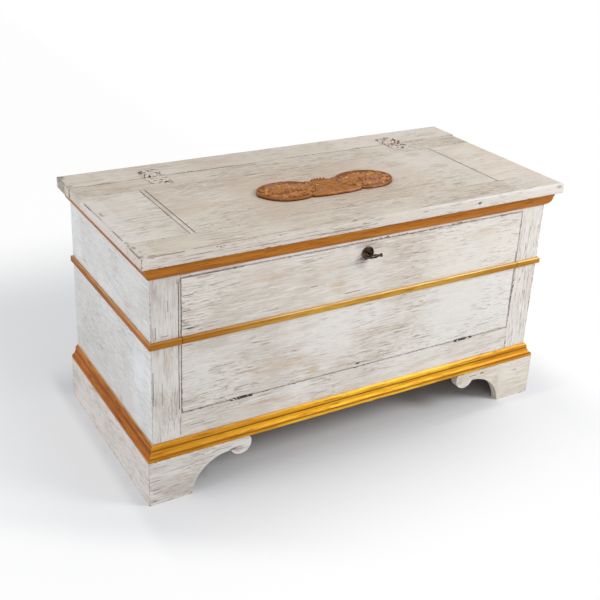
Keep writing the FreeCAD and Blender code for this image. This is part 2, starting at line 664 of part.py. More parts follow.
def hinge_pins(name, kind, place_name, y, z):
    """The pins of a pair of hinges, one at each side."""
    pins = []
    for side, sign in SIDES:
        pin = doc.addObject("Part::Cylinder", name + side)
        pin.setExpression("Radius", refer(kind + "_pin"))
        pin.setExpression("Height", refer(kind + "_leaf_width"))
        turn(pin, (0, 1, 0), 90)
        place(pin, "%s - %s_leaf_width / 2" % (signed(sign, place_name), kind), y, z)
        pins.append(pin)
    node(name, fuse(name, pins))


def leaf_spots(kind, shares, place_name, y, z, forward):
    """Where the screws of both hinges of a pair go, on the leaf behind or before the pin."""
    spots = []
    for side, sign in SIDES:
        for along, out in shares:
            x = "%s + %s * %s_leaf_width / 2" % (signed(sign, place_name), along, kind)
            spots.append((x, "%s + %d * %s * %s_leaf_reach" % (y, forward, out, kind), z))
    return spots


def lid_hinges():
    """Two surface hinges: fixed leaves on the strip, moving leaves on the lid."""
    groups, holes = {}, {}
    top = "lid_top + lid_leaf_thick"
    for who, knuckles, forward in (("fixed", 0, 1), ("moving", 1, -1)):
        spots = leaf_spots("lid", LID_SCREW_SHARES, "lid_hinge_place", "lid_hinge_y", top, forward)
        groups[who], holes[who] = screws("LidHingeScrews" + who, spots, 180)
        for side, sign in SIDES:
            name = "lid_hinge_%s_%s" % (who, side)
            leaf = hinge_leaf(name + "Blank", "lid", knuckles)
            if forward < 0:
                turn(leaf, (0, 0, 1), 180)
            place(leaf, signed(sign, "lid_hinge_place"), "lid_hinge_y", "lid_hinge_z")
            node(name, cut(name, leaf, [holes[who]]))
    hinge_pins("lid_hinge_pins", "lid", "lid_hinge_place", "lid_hinge_y", "lid_hinge_z")
    return groups, holes


def flap_hinges():
    """Two butt hinges under the fall front: fixed leaves on the rail, moving ones on the front."""
    groups, holes = {}, {}
    faces = {
        "fixed": "flap_hinge_z - flap_barrel_lift + flap_leaf_thick",
        "moving": "flap_hinge_z + flap_barrel_lift - flap_leaf_thick",
    }
    for who, knuckles, angle in (("fixed", 0, 180), ("moving", 1, 0)):
        spots = leaf_spots("flap", FLAP_SCREW_SHARES, "flap_hinge_place", "flap_hinge_y", faces[who], 1)
        groups[who], holes[who] = screws("FlapHingeScrews" + who, spots, angle)
        for side, sign in SIDES:
            name = "flap_hinge_%s_%s" % (who, side)
            leaf = hinge_leaf(name + "Blank", "flap", knuckles)
            if who == "moving":
                turn(leaf, (0, 1, 0), 180)
            place(leaf, signed(sign, "flap_hinge_place"), "flap_hinge_y", "flap_hinge_z")
            node(name, cut(name, leaf, [holes[who]]))
    hinge_pins("flap_hinge_pins", "flap", "flap_hinge_place", "flap_hinge_y", "flap_hinge_z")
    return groups, holes


def hinge_recesses(name, above):
    """Room for the fall front's hinges in the wood above or below the pin."""
    tools = []
    for side, sign in SIDES:
        middle = signed(sign, "flap_hinge_place")
        half = "flap_leaf_width / 2 + knuckle_gap"
        wide = ("%s - (%s)" % (middle, half), "%s + %s" % (middle, half))
        depths = (
            ("Leaf", "flap_hinge_y + flap_leaf_reach + fit_gap", "flap_barrel_lift"),
            ("Barrel", "flap_hinge_y + flap_barrel + knuckle_gap", "flap_barrel + knuckle_gap"),
        )
        for what, back, deep in depths:
            far = "flap_hinge_z + %s" % deep if above else "flap_hinge_z - (%s)" % deep
            tall = ("flap_hinge_z", far) if above else (far, "flap_hinge_z")
            tools.append(box(name + what + side, wide, ("case_front - overrun", back), tall))
    return tools


def fall_front(holes):
    """The panel that falls open, with room for its hinges, its lock and the key."""
    panel = box("FlapBlank", ("-flap_half", "flap_half"), ("case_front", "inner_front"),
                ("flap_low", "flap_high"))
    lock_tall = ("lock_low - fit_gap", "flap_high + overrun")
    plate_room = box("PlateRoom", ("-lock_width / 2 - fit_gap", "lock_width / 2 + fit_gap"),
                     ("lock_back - lock_wall", "lock_back + overrun"), lock_tall)
    case_half = "bolt_half + bolt_play + lock_wall + fit_gap"
    case_room = box("CaseRoom", ("-(%s)" % case_half, case_half),
                    ("lock_front", "lock_back + overrun"), lock_tall)
    keyhole = doc.addObject("Part::Cylinder", "Keyhole")
    keyhole.setExpression("Radius", refer("key_radius + key_bore_play"))
    keyhole.setExpression("Height", refer("board + 2 * overrun"))
    turn(keyhole, (1, 0, 0), -90)
    place(keyhole, "", "case_front - overrun", "key_z")
    tools = [plate_room, case_room, keyhole, holes["moving"], holes["lock"]]
    node("front_flap", cut("FlapCut", panel, tools + hinge_recesses("FlapRecess", True)))


def rails(holes):
    """The bottom rail with its hinge recesses, and the top rail with the bolt's mortise."""
    low = front_rail("BottomRail", "plinth_height", "rail_top")
    tools = [holes["fixed"]] + hinge_recesses("RailRecess", False)
    node("front_bottom_rail", cut("BottomRailCut", low, tools))
    high = front_rail("TopRail", "opening_top", "case_top")
    centre = "(bolt_front + bolt_back) / 2"
    plate_room = box("StrikeRoom", ("-strike_width / 2 - fit_gap", "strike_width / 2 + fit_gap"),
                     ("%s - strike_deep / 2 - fit_gap" % centre, "inner_front + overrun"),
                     ("opening_top - overrun", "opening_top + strike_thick"))
    mortise_half = "bolt_head_width / 2 + 3 * bolt_play"
    mortise = box("Mortise", ("-(%s)" % mortise_half, mortise_half),
                  ("bolt_front - 3 * bolt_play", "bolt_back + 3 * bolt_play"),
                  ("opening_top - overrun", "bolt_top + bit_long + 3 * bolt_play"))
    node("front_top_rail", cut("TopRailCut", high, [plate_room, mortise, holes["strike"]]))
    plate = box("StrikePlate", ("-strike_width / 2", "strike_width / 2"),
                ("%s - strike_deep / 2" % centre, "inner_front"),
                ("opening_top", "opening_top + strike_thick"))
    slot_half = "bolt_head_width / 2 + 2 * bolt_play"
    slot = box("StrikeSlot", ("-(%s)" % slot_half, slot_half),
               ("bolt_front - 2 * bolt_play", "bolt_back + 2 * bolt_play"),
               ("opening_top - overrun", "opening_top + strike_thick + overrun"))
    node("strike_plate", cut("StrikeCut", plate, [slot, holes["strike"]]))


def lock_fasteners():
    """Screws that hold the lock and the strike plate, and their holes."""
    groups, holes = {}, {}
    edge = "lock_width / 2 - lock_screw_edge"
    heights = ("lock_low + 2 * head_radius", "flap_high - 2 * head_radius")
    spots = [(x, "lock_back", z) for x in ("-(%s)" % edge, edge) for z in heights]
    groups["lock"], holes["lock"] = screws("LockScrews", spots, 90)
    centre = "(bolt_front + bolt_back) / 2"
    out = "strike_width / 2 - 2 * head_radius"
    spots = [(x, centre, "opening_top") for x in ("-(%s)" % out, out)]
    groups["strike"], holes["strike"] = screws("StrikeScrews", spots, 0)
    return groups, holes


def lock(holes):
    """The lock, a plate with a case open towards the wood, and the bolt that the key lifts."""
    plate = box("LockPlate", ("-lock_width / 2", "lock_width / 2"), ("lock_back - lock_wall", "lock_back"),
                ("lock_low", "flap_high"))
    outer = "bolt_half + bolt_play + lock_wall"
    case = box("LockCase", ("-(%s)" % outer, outer), ("lock_front", "lock_back"), ("lock_low", "flap_high"))
    room = box("LockHollow", ("-bolt_half - bolt_play", "bolt_half + bolt_play"),
               ("lock_front - overrun", "lock_back - lock_wall"),
               ("bolt_low - bolt_play", "bolt_step + bit_long + bolt_play"))
    slot = box("LockSlot", ("-bolt_head_width / 2 - bolt_play", "bolt_head_width / 2 + bolt_play"),
               ("bolt_front - bolt_play", "lock_back - lock_wall"), ("bolt_step", "flap_high + overrun"))
    node("lock_case", cut("LockCut", fuse("LockBlank", [plate, case]), [room, slot, holes["lock"]]))
    bolt = body("lock_bolt")
    shape = drawing(bolt, "XZ_Plane", "-(bolt_back)")
    tail, head = "bolt_half", "bolt_head_width / 2"
    outline(shape, (("-" + tail, "bolt_low"), (tail, "bolt_low"), (tail, "bolt_step"), (head, "bolt_step"),
                    (head, "bolt_top"), ("-" + head, "bolt_top"), ("-" + head, "bolt_step"),
                    ("-" + tail, "bolt_step")))
    pad(bolt, shape, "bolt_thick")
    window = drawing(bolt, "XZ_Plane")
    rectangle(window, ("-window_half", "window_half"), ("key_z - window_low", "key_z + window_high"))
    pocket(bolt, window)
    node("lock_bolt", bolt)


def turned(name, corners):
    """A body turned about its own Z axis from one half section."""
    owner = body(name)
    half = drawing(owner, "XZ_Plane")
    outline(half, corners)
    feature = owner.newObject("PartDesign::Revolution", name + "Turn")
    feature.Profile = half
    feature.ReferenceAxis = (half, ["V_Axis"])
    doc.recompute()
    return owner


def rose_and_key():
    """The round rose on the fall front, and the key with its cross handle."""
    bore = "key_radius + key_play"
    collar = "key_radius + rose_rim"
    rose = turned("escutcheon_rose", (
        (bore, "0"), ("rose_radius", "0"), ("rose_radius", "rose_thick / 2", "-rose_thick / 8"),
        ("rose_radius - rose_rim / 2", "rose_thick"),
        ("rose_radius - rose_rim", "rose_thick", "-rose_thick / 8"),
        ("rose_radius - 1.6 * rose_rim", "rose_thick - rose_dish"), (collar, "rose_thick - rose_dish"),
        (collar, "rose_thick - rose_dish / 3"), (bore, "rose_thick - rose_dish / 3"),
    ))
    turn(rose, (1, 0, 0), 90)
    place(rose, "", "case_front", "key_z")
    node("escutcheon_rose", rose)

    first, middle, last = ["%s * bar_half" % share for share in BAR_NECK_SHARES]
    end = "%s * bar_half" % BAR_END_SHARE
    bar = turned("KeyBar", (
        ("0", "-bar_half"), ("bar_radius * 0.6", "-bar_half"), ("bar_radius", "-(%s)" % end),
        ("bar_neck", "-(%s)" % last), ("bar_neck", "-(%s)" % middle), ("bar_radius", "-(%s)" % first),
        ("bar_radius", first), ("bar_neck", middle), ("bar_neck", last), ("bar_radius", end),
        ("bar_radius * 0.6", "bar_half"), ("0", "bar_half"),
    ))
    turn(bar, (0, 1, 0), 90)
    place(bar, "", "case_front - key_reach", "key_z")
    stem = doc.addObject("Part::Cylinder", "KeyStem")
    stem.setExpression("Radius", refer("key_radius"))
    stem.setExpression("Height", refer("key_reach + bolt_back - case_front"))
    turn(stem, (1, 0, 0), -90)
    place(stem, "", "case_front - key_reach", "key_z")
    bit = box("KeyBit", ("0", "bit_long"), ("bolt_front", "bolt_back"),
              ("key_z - bit_thick / 2", "key_z + bit_thick / 2"))
    node("key", fuse("Key", [bar, stem, bit]))


def lid(holes):
    """The lid: a frame of two rails and two end boards round a flush panel."""
    round_by = number("lid_round")
    top, front = number("lid_top"), number("lid_front")
    close = number("fit_gap")
    half_tongue, half_groove = "tongue_thick / 2", "tongue_thick / 2 + fit_gap"

    def upper_outer(bound):
        """Edges along the lid's upper outline, at its ends or its front."""
        high = bound.ZMin > top - close
        at_end = bound.XLength < close and abs(abs(bound.XMin) - number("lid_half")) < close
        at_front = bound.YLength < close and abs(bound.YMin - front) < close
        return high and (at_end or at_front)

    groove_low, groove_high = "lid_middle_z - (%s)" % half_groove, "lid_middle_z + %s" % half_groove
    for name, edge, joint, inward in (("lid_front_rail", "lid_front", "panel_front", -1),
                                      ("lid_rear_rail", "lid_back", "panel_back", 1)):
        rail = body(name if inward < 0 else "LidRearBlank")
        section = drawing(rail, "YZ_Plane")
        bottom = "%s + %d * groove_deep" % (joint, inward)
        outline(section, (
            (edge, "lid_under"), (joint, "lid_under"), (joint, groove_low), (bottom, groove_low),
            (bottom, groove_high), (joint, groove_high), (joint, "lid_top"), (edge, "lid_top"),
        ))
        blank = pad(rail, section, "2 * lid_half", both=True)
        soften(rail, blank, "lid_round", upper_outer)
        node(name, rail if inward < 0 else cut("LidRearCut", rail, [holes["moving"]]))

    for side, sign in SIDES:
        name = "lid_end_" + side
        end = body(name)
        section = drawing(end, "XZ_Plane", "-(panel_back)")
        bottom = "panel_half + groove_deep"
        outline(section, (
            (signed(sign, "lid_half"), "lid_under"), (signed(sign, "panel_half"), "lid_under"),
            (signed(sign, "panel_half"), groove_low), (signed(sign, bottom), groove_low),
            (signed(sign, bottom), groove_high), (signed(sign, "panel_half"), groove_high),
            (signed(sign, "panel_half"), "lid_top"), (signed(sign, "lid_half"), "lid_top"),
        ))
        blank = pad(end, section, "panel_back - panel_front")
        soften(end, blank, "lid_round", upper_outer)
        tongue = drawing(end, "XZ_Plane", "-(panel_back + tongue_long)")
        rectangle(tongue, spread(sign, bottom, "lid_half"),
                  ("lid_middle_z - " + half_tongue, "lid_middle_z + " + half_tongue))
        pad(end, tongue, "panel_back - panel_front + 2 * tongue_long")
        node(name, end)

    panel = body("lid_panel")
    face = drawing(panel, "XY_Plane", "lid_under")
    inner = "panel_half - lid_panel_gap"
    rectangle(face, ("-(%s)" % inner, inner), ("panel_front", "panel_back"))
    pad(panel, face, "lid_thick")
    tongue = drawing(panel, "XY_Plane", "lid_middle_z - " + half_tongue)
    reach = "panel_half + tongue_long - lid_panel_gap"
    rectangle(tongue, ("-(%s)" % reach, reach), ("panel_front - tongue_long", "panel_back + tongue_long"))
    pad(panel, tongue, "tongue_thick")
    line = drawing(panel, "XY_Plane", "lid_top")
    start = "-panel_half + lid_bead_place"
    rectangle(line, (start, start + " + lid_bead_width"), ("panel_front - overrun", "panel_back + overrun"))
    pocket(panel, line, "lid_bead_width")
    node("lid_panel", panel)


def hinge_strip(holes):
    """The fixed strip along the back of the top, which carries the lid."""
    strip = box("StripBlank", ("-strip_half", "strip_half"), ("strip_front", "case_back + rear_overhang"),
                ("case_top", "lid_top"))
    node("hinge_strip", cut("StripCut", strip, [holes["fixed"]]))


def ornament():
    """The carved ornament on the lid: two ovals, a ribbon below them and a crown between."""
    parts = []
    bulge = "(sqrt(2) - 1) * ornament_long * ornament_wide / sqrt(ornament_long^2 + ornament_wide^2)"
    for side, sign in SIDES:
        middle = signed(sign, "ornament_place")
        parts.append(prism("Oval" + side, "XY_Plane", "lid_top", "lid_top + ornament_thick", (
            (middle + " + ornament_long", "lid_middle_y", bulge),
            (middle, "lid_middle_y + ornament_wide", bulge),
            (middle + " - ornament_long", "lid_middle_y", bulge),
            (middle, "lid_middle_y - ornament_wide", bulge),
        )))
    corners = []
    for along, up in RIBBON_SHARES:
        corners.append(("%s * ornament_place" % along, "lid_middle_y + %s * ornament_wide" % up))
    parts.append(prism("Ribbon", "XY_Plane", "lid_top", "lid_top + ornament_thick", corners))
    for lobe in range(CROWN_LOBES):
        petal = doc.addObject("Part::Cylinder", "Crown%d" % lobe)
        petal.setExpression("Radius", refer("ornament_wide / 14"))
        petal.setExpression("Height", refer("ornament_thick"))
        share = 2 * lobe / (CROWN_LOBES - 1) - 1
        rise = 0.68 - 0.05 * share * share
        place(petal, "%s * 0.155 * ornament_place" % share,
              "lid_middle_y + %s * ornament_wide" % rise, "lid_top")
        parts.append(petal)
    stem = box("CrownBase", ("-0.19 * ornament_place", "0.19 * ornament_place"),
               ("lid_middle_y + 0.4 * ornament_wide", "lid_middle_y + 0.62 * ornament_wide"),
               ("lid_top", "lid_top + ornament_thick"))
    node("lid_ornament", fuse("Ornament", parts + [stem]))


def build():
    """Makes every piece."""
    side_boards()
    front_stiles()
    back_and_floor()
    stop_battens()
    plinth()
    mouldings()
    lid_screws, lid_holes = lid_hinges()
    flap_screws, flap_holes = flap_hinges()
    lock_screws, lock_holes = lock_fasteners()
    case_screws = [lid_screws["fixed"], flap_screws["fixed"], lock_screws["strike"]]
    node("case_screws", fuse("CaseScrews", case_screws))
    node("flap_screws", fuse("FlapScrews", [flap_screws["moving"], lock_screws["lock"]]))
    node("lid_screws", lid_screws["moving"])
    rails({**flap_holes, **lock_holes})
    fall_front({**flap_holes, **lock_holes})
    lock(lock_holes)
    rose_and_key()
    lid(lid_holes)
    hinge_strip(lid_holes)
    ornament()
    doc.recompute()


def check():
    """Stops where a feature failed or a piece has no sound shape."""
    for thing in doc.Objects:
        if "Invalid" in thing.State or "Error" in thing.State:
            raise RuntimeError("%s is not valid: %s" % (thing.Name, thing.State))
    for piece in nodes:
        if piece.Shape.isNull() or not piece.Shape.isValid() or not piece.Shape.Solids:
            raise RuntimeError("%s has no sound shape" % piece.Label)


def export():
    os.makedirs("parts", exist_ok=True)
    for piece in nodes:
        piece.Shape.exportStep("parts/%s.step" % piece.Label)


fill_sheet()
build()
check()
export()
print("%d pieces written" % len(nodes))
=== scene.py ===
import math

import bmesh
import bpy
import numpy as np
from mathutils import Matrix, Vector
from mathutils.bvhtree import BVHTree


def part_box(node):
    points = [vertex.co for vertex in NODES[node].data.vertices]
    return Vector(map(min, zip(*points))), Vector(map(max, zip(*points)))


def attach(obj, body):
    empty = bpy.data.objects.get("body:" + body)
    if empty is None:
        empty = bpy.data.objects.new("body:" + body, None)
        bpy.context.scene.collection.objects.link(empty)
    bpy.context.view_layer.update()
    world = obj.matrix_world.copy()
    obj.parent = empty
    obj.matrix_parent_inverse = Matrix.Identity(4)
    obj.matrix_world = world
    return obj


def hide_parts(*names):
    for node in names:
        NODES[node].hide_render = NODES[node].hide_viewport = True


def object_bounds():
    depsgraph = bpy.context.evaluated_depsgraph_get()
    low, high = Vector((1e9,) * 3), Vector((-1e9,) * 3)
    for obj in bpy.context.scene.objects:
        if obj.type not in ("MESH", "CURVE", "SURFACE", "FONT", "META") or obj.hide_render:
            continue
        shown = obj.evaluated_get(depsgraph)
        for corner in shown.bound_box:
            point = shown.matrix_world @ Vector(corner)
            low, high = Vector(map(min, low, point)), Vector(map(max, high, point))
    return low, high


# The looks of a painted storage chest: worn white paint over brown wood, gilt mouldings,
# a carved gilt ornament, painted hinges and a dark bronze lock. The frame is in metres.
# Only the tables of marks and the carving are in millimetres, and say so.

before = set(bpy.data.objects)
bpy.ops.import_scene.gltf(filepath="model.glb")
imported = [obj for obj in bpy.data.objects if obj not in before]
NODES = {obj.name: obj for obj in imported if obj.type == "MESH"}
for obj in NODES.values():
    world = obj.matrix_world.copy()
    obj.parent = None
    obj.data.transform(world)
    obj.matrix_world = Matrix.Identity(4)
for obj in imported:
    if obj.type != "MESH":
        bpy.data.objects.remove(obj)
cad_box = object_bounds()
MILLIMETRES = 1000


def metres(*values):
    """Millimetres as metres."""
    return tuple(value / MILLIMETRES for value in values)


# Camera

CAMERA_PLACE = (-1.35378, -2.16985, 1.57483)
CAMERA_YAW, CAMERA_PITCH, CAMERA_ROLL = -30.739, 23.584, 2.4475
CAMERA_LENS, CAMERA_SENSOR = 59.01, 36
CAMERA_SHIFT = (0.0115, -0.0774)


def make_camera():
    yaw, pitch, roll = (math.radians(angle) for angle in (CAMERA_YAW, CAMERA_PITCH, CAMERA_ROLL))
    flat = math.cos(pitch)
    back = Vector((math.sin(yaw) * flat, -math.cos(yaw) * flat, math.sin(pitch)))
    level = Vector((math.cos(yaw), math.sin(yaw), 0))
    rise = back.cross(level)
    right = math.cos(roll) * level + math.sin(roll) * rise
    up = math.cos(roll) * rise - math.sin(roll) * level
    data = bpy.data.cameras.new("camera")
    data.lens = CAMERA_LENS
    data.sensor_width = CAMERA_SENSOR
    data.shift_x, data.shift_y = CAMERA_SHIFT
    camera = bpy.data.objects.new("camera", data)
    turn = Matrix((right, up, back)).transposed().to_4x4()
    camera.matrix_world = Matrix.Translation(CAMERA_PLACE) @ turn
    bpy.context.scene.collection.objects.link(camera)
    bpy.context.scene.camera = camera


# Node helpers

MIX_FACTOR, MIX_FIRST, MIX_SECOND, MIX_COLOUR = 0, 6, 7, 2
SEED_STEPS = (3.17, 1.73, 2.41)
SOLID_SHARE = 0.4


def linear(red, green, blue):
    """An sRGB colour of 0 to 255 as linear values."""
    out = []
    for channel in (red, green, blue):
        share = channel / 255
        out.append(share / 12.92 if share <= 0.04045 else ((share + 0.055) / 1.055) ** 2.4)
    return (*out, 1)


class Tree:
    """A material's node tree with short ways to add to it. Another seed gives other noise,
    and a larger fineness gives smaller marks."""

    def __init__(self, name, seed=0, fineness=1.0):
        self.material = bpy.data.materials.new(name)
        self.material.use_nodes = True
        self.tree = self.material.node_tree
        self.tree.nodes.clear()
        self.place = self.node("ShaderNodeTexCoord").outputs["Object"]
        self.seed = seed
        self.fineness = fineness

    def node(self, kind, **settings):
        made = self.tree.nodes.new(kind)
        for key, value in settings.items():
            setattr(made, key, value)
        return made

    def feed(self, socket, value):
        if isinstance(value, bpy.types.NodeSocket):
            self.tree.links.new(value, socket)
        else:
            socket.default_value = value

    def calc(self, operation, *values):
        made = self.node("ShaderNodeMath", operation=operation)
        for socket, value in zip(made.inputs, values):
            self.feed(socket, value)
        return made.outputs[0]

    def times(self, *values):
        product = values[0]
        for value in values[1:]:
            product = self.calc("MULTIPLY", product, value)
        return product

    def vector(self, operation, *values):
        made = self.node("ShaderNodeVectorMath", operation=operation)
        for socket, value in zip(made.inputs, values):
            self.feed(socket, value)
        return made.outputs["Value"] if operation == "LENGTH" else made.outputs[0]

    def mix(self, factor, first, second):
        made = self.node("ShaderNodeMix", data_type="RGBA")
        self.feed(made.inputs[MIX_FACTOR], factor)
        self.feed(made.inputs[MIX_FIRST], first)
        self.feed(made.inputs[MIX_SECOND], second)
        return made.outputs[MIX_COLOUR]

    def ramp(self, value, low, high, out_low=0.0, out_high=1.0):
        made = self.node("ShaderNodeMapRange", interpolation_type="SMOOTHSTEP")
        for socket, item in zip(made.inputs, (value, low, high, out_low, out_high)):
            self.feed(socket, item)
        return made.outputs[0]

    def noise(self, waves, shift=0.0, detail=3.0, rough=0.55, distortion=0.0):
        """Noise with so many waves to the metre, or along each axis. Another shift gives
        another pattern."""
        if not isinstance(waves, (tuple, list)):
            waves = (waves, waves, waves)
        waves = [count * self.fineness for count in waves]
        offset = [self.seed * step + shift for step in SEED_STEPS]
        moved = self.vector("ADD", self.place, offset)
        made = self.node("ShaderNodeTexNoise")
        self.feed(made.inputs["Vector"], self.vector("MULTIPLY", moved, waves))
        made.inputs["Scale"].default_value = 1.0
        made.inputs["Detail"].default_value = detail
        made.inputs["Roughness"].default_value = rough
        made.inputs["Distortion"].default_value = distortion
        return made.outputs[0]

    def grained(self, grain, pattern):
        """Noise drawn out along the grain. A pattern has its waves to the metre along the grain
        and across it, then the noise's own settings."""
        lengthwise, crosswise, *settings = pattern
        return self.noise([lengthwise if axis == grain else crosswise for axis in "xyz"], *settings)

    def split(self):
        made = self.node("ShaderNodeSeparateXYZ")
        self.feed(made.inputs[0], self.place)
        return made.outputs[0], made.outputs[1], made.outputs[2]

    def near_block(self, spot, halves, half_width, strength):
        """The strength of a line or a patch: a block that fades out over its half width."""
        away = self.vector("ABSOLUTE", self.vector("SUBTRACT", self.place, spot))
        outside = self.vector("MAXIMUM", self.vector("SUBTRACT", away, halves), (0, 0, 0))
        away = self.vector("LENGTH", outside)
        return self.ramp(away, SOLID_SHARE * half_width, half_width, strength, 0)

    def edge_distance(self, low, high):
        """On the faces of a block: the distance to the nearest edge, in metres."""
        gaps = []
        for value, least, most in zip(self.split(), low, high):
            below, above = self.calc("SUBTRACT", value, least), self.calc("SUBTRACT", most, value)
            gaps.append(self.calc("MINIMUM", below, above))
        first, second, third = gaps
        smaller = self.calc("MINIMUM", first, second)
        larger = self.calc("MAXIMUM", first, second)
        return self.calc("MAXIMUM", smaller, self.calc("MINIMUM", larger, third))

    def finish(self, colour, roughness, height, distance=0.0003, strength=0.7, metallic=0.0, gloss=0.5):
        """Ends the tree in one shader. The height drives its bump."""
        shader = self.node("ShaderNodeBsdfPrincipled")
        self.feed(shader.inputs["Base Color"], colour)
        self.feed(shader.inputs["Roughness"], roughness)
        shader.inputs["Metallic"].default_value = metallic
        shader.inputs["Specular IOR Level"].default_value = gloss
        bump = self.node("ShaderNodeBump")
        bump.inputs["Strength"].default_value = strength
        bump.inputs["Distance"].default_value = distance
        self.feed(bump.inputs["Height"], height)
        self.feed(shader.inputs["Normal"], bump.outputs[0])
        output = self.node("ShaderNodeOutputMaterial")
        self.feed(output.inputs[0], shader.outputs[0])
        return self.material


# Wood and paint

# The whites differ by face as painted light: the lid's top is warmer and darker than the front, and the sides
# cooler and brighter.
LID_TINT, LID_PALE = linear(211, 198, 181), linear(226, 216, 203)
LID_END_TINT, LID_END_PALE = linear(216, 205, 190), linear(229, 222, 212)
# A lighter white for the lid's right end, also washed onto the lid's right part: painted light from the lamp
# on the right.
LID_RIGHT_LIT_TINT, LID_RIGHT_LIT_PALE = linear(224, 210, 192), linear(236, 226, 214)
FRONT_TINT, FRONT_PALE = linear(214, 206, 196), linear(234, 230, 224)
SIDE_TINT, SIDE_PALE = linear(222, 222, 221), linear(238, 239, 240)
PLINTH_TINT, PLINTH_PALE = linear(222, 213, 206), linear(238, 231, 226)
# A darker white: on the front's left stile and left foot, and in washes on the front's left part, it is
# painted shade where the lamp on the right falls off.
FOOT_TINT, FOOT_PALE = linear(205, 198, 190), linear(228, 224, 219)
FAR_FOOT_TINT, FAR_FOOT_PALE = linear(213, 202, 187), linear(232, 225, 214)
# a painted highlight for the lid's front arris
ARRIS_HIGHLIGHT = linear(243, 244, 245)
LINE_BROWN = linear(142, 122, 106)
LINE_DARK = linear(106, 88, 78)
HAIR_BROWN = linear(182, 168, 156)
LID_WARM = linear(204, 184, 164)
CLOUD = linear(188, 170, 150)
MAUVE = linear(168, 144, 140)
ROSY_WHITE = linear(226, 212, 203)
# The grey is painted shade over the lid's whole front face. The white is painted light where it lies on the
# right of the front and of the lid's front face.
FACE_WHITE, FACE_SHADE_GREY = linear(234, 231, 226), linear(218, 211, 203)
FACE_CREAM = linear(230, 222, 206)
TAN = linear(205, 178, 150)
JOINT = linear(84, 70, 62)
WOOD_DARK = linear(54, 40, 34)
WOOD_BARE = linear(150, 108, 70)
WOOD_DEEP = linear(96, 62, 38)

# Patterns drawn out along the grain: waves to the metre along it and across it, shift, detail,
# roughness and, for some, distortion.
WOOD_LINES, WOOD_BANDS = (9, 150, 0, 5, 0.6, 0.3), (1.5, 25, 0, 3, 0.5, 0.6)
CLOUDS, ROSY_CLOUDS, BRIGHT_STREAKS = (6, 30, 7, 4, 0.6), (8, 44, 13, 4, 0.62), (9, 90, 17, 4, 0.62)
HAIR_LINES, BRUSH_LINES = (34, 430, 0, 3, 0.6), (18, 300, 3, 3, 0.55, 0.1)
THIN_LINES, PALE_STROKES = (20, 330, 23, 2, 0.5, 0.15), (18, 300, 29, 3, 0.6)
DASHES = (30, 300, 5, 3, 0.58)
GILT_STREAKS, GILT_HAIRS = (3, 40, 0, 4, 0.6), (16, 300, 5, 4, 0.65)

# Patterns that are the same in all directions: waves to the metre, shift, detail and, for some,
# roughness.
TWO_WHITES, LINE_PATCHES = (5, 0, 3), (6.5, 11, 2)
EDGE_CRUMBS, EDGE_PATCHES = (120, 0, 4, 0.65), (16, 2, 3)

# Layers of the paint: pattern, noise at which it starts to show and is full, strength, colour.
THIN_PAINT = ((CLOUDS, 0.5, 0.7, 0.34, CLOUD), (ROSY_CLOUDS, 0.56, 0.7, 0.3, MAUVE))
BRUSH_MARKS = (
    (HAIR_LINES, 0.5, 0.6, 0.55, HAIR_BROWN),
    (BRUSH_LINES, 0.59, 0.64, 0.7, LINE_BROWN),
    (THIN_LINES, 0.645, 0.68, 0.85, LINE_DARK),
)
DASH_LEVEL, DASH_PATCHES, DASH_FADE, DASH_STRENGTH = 0.80, 0.1, 0.025, 0.9
WORN_DEPTH, WORN_FADE, WORN_STRENGTH = 0.007, (-0.0004, 0.0006), 0.85
GRIME_WIDTH, GRIME_STRENGTH = 0.004, 0.6
PAINT_ROUGHNESS, PAINT_GLOSS = (0.5, 0.72), 0.35
DARK_EDGE_WIDTH, DARK_EDGE_STRENGTH = 0.0035, 0.8
SHADE_COUNT, SHADE_STEP = 4, 0.14


def wood_colour(tree, grain):
    """The colour and the lines of bare brown wood with its grain along one axis."""
    lines, bands = tree.grained(grain, WOOD_LINES), tree.grained(grain, WOOD_BANDS)
    body = tree.mix(tree.ramp(bands, 0.3, 0.7), WOOD_BARE, WOOD_DEEP)
    return tree.mix(tree.ramp(lines, 0.45, 0.75, 0, 0.6), body, WOOD_DEEP), lines


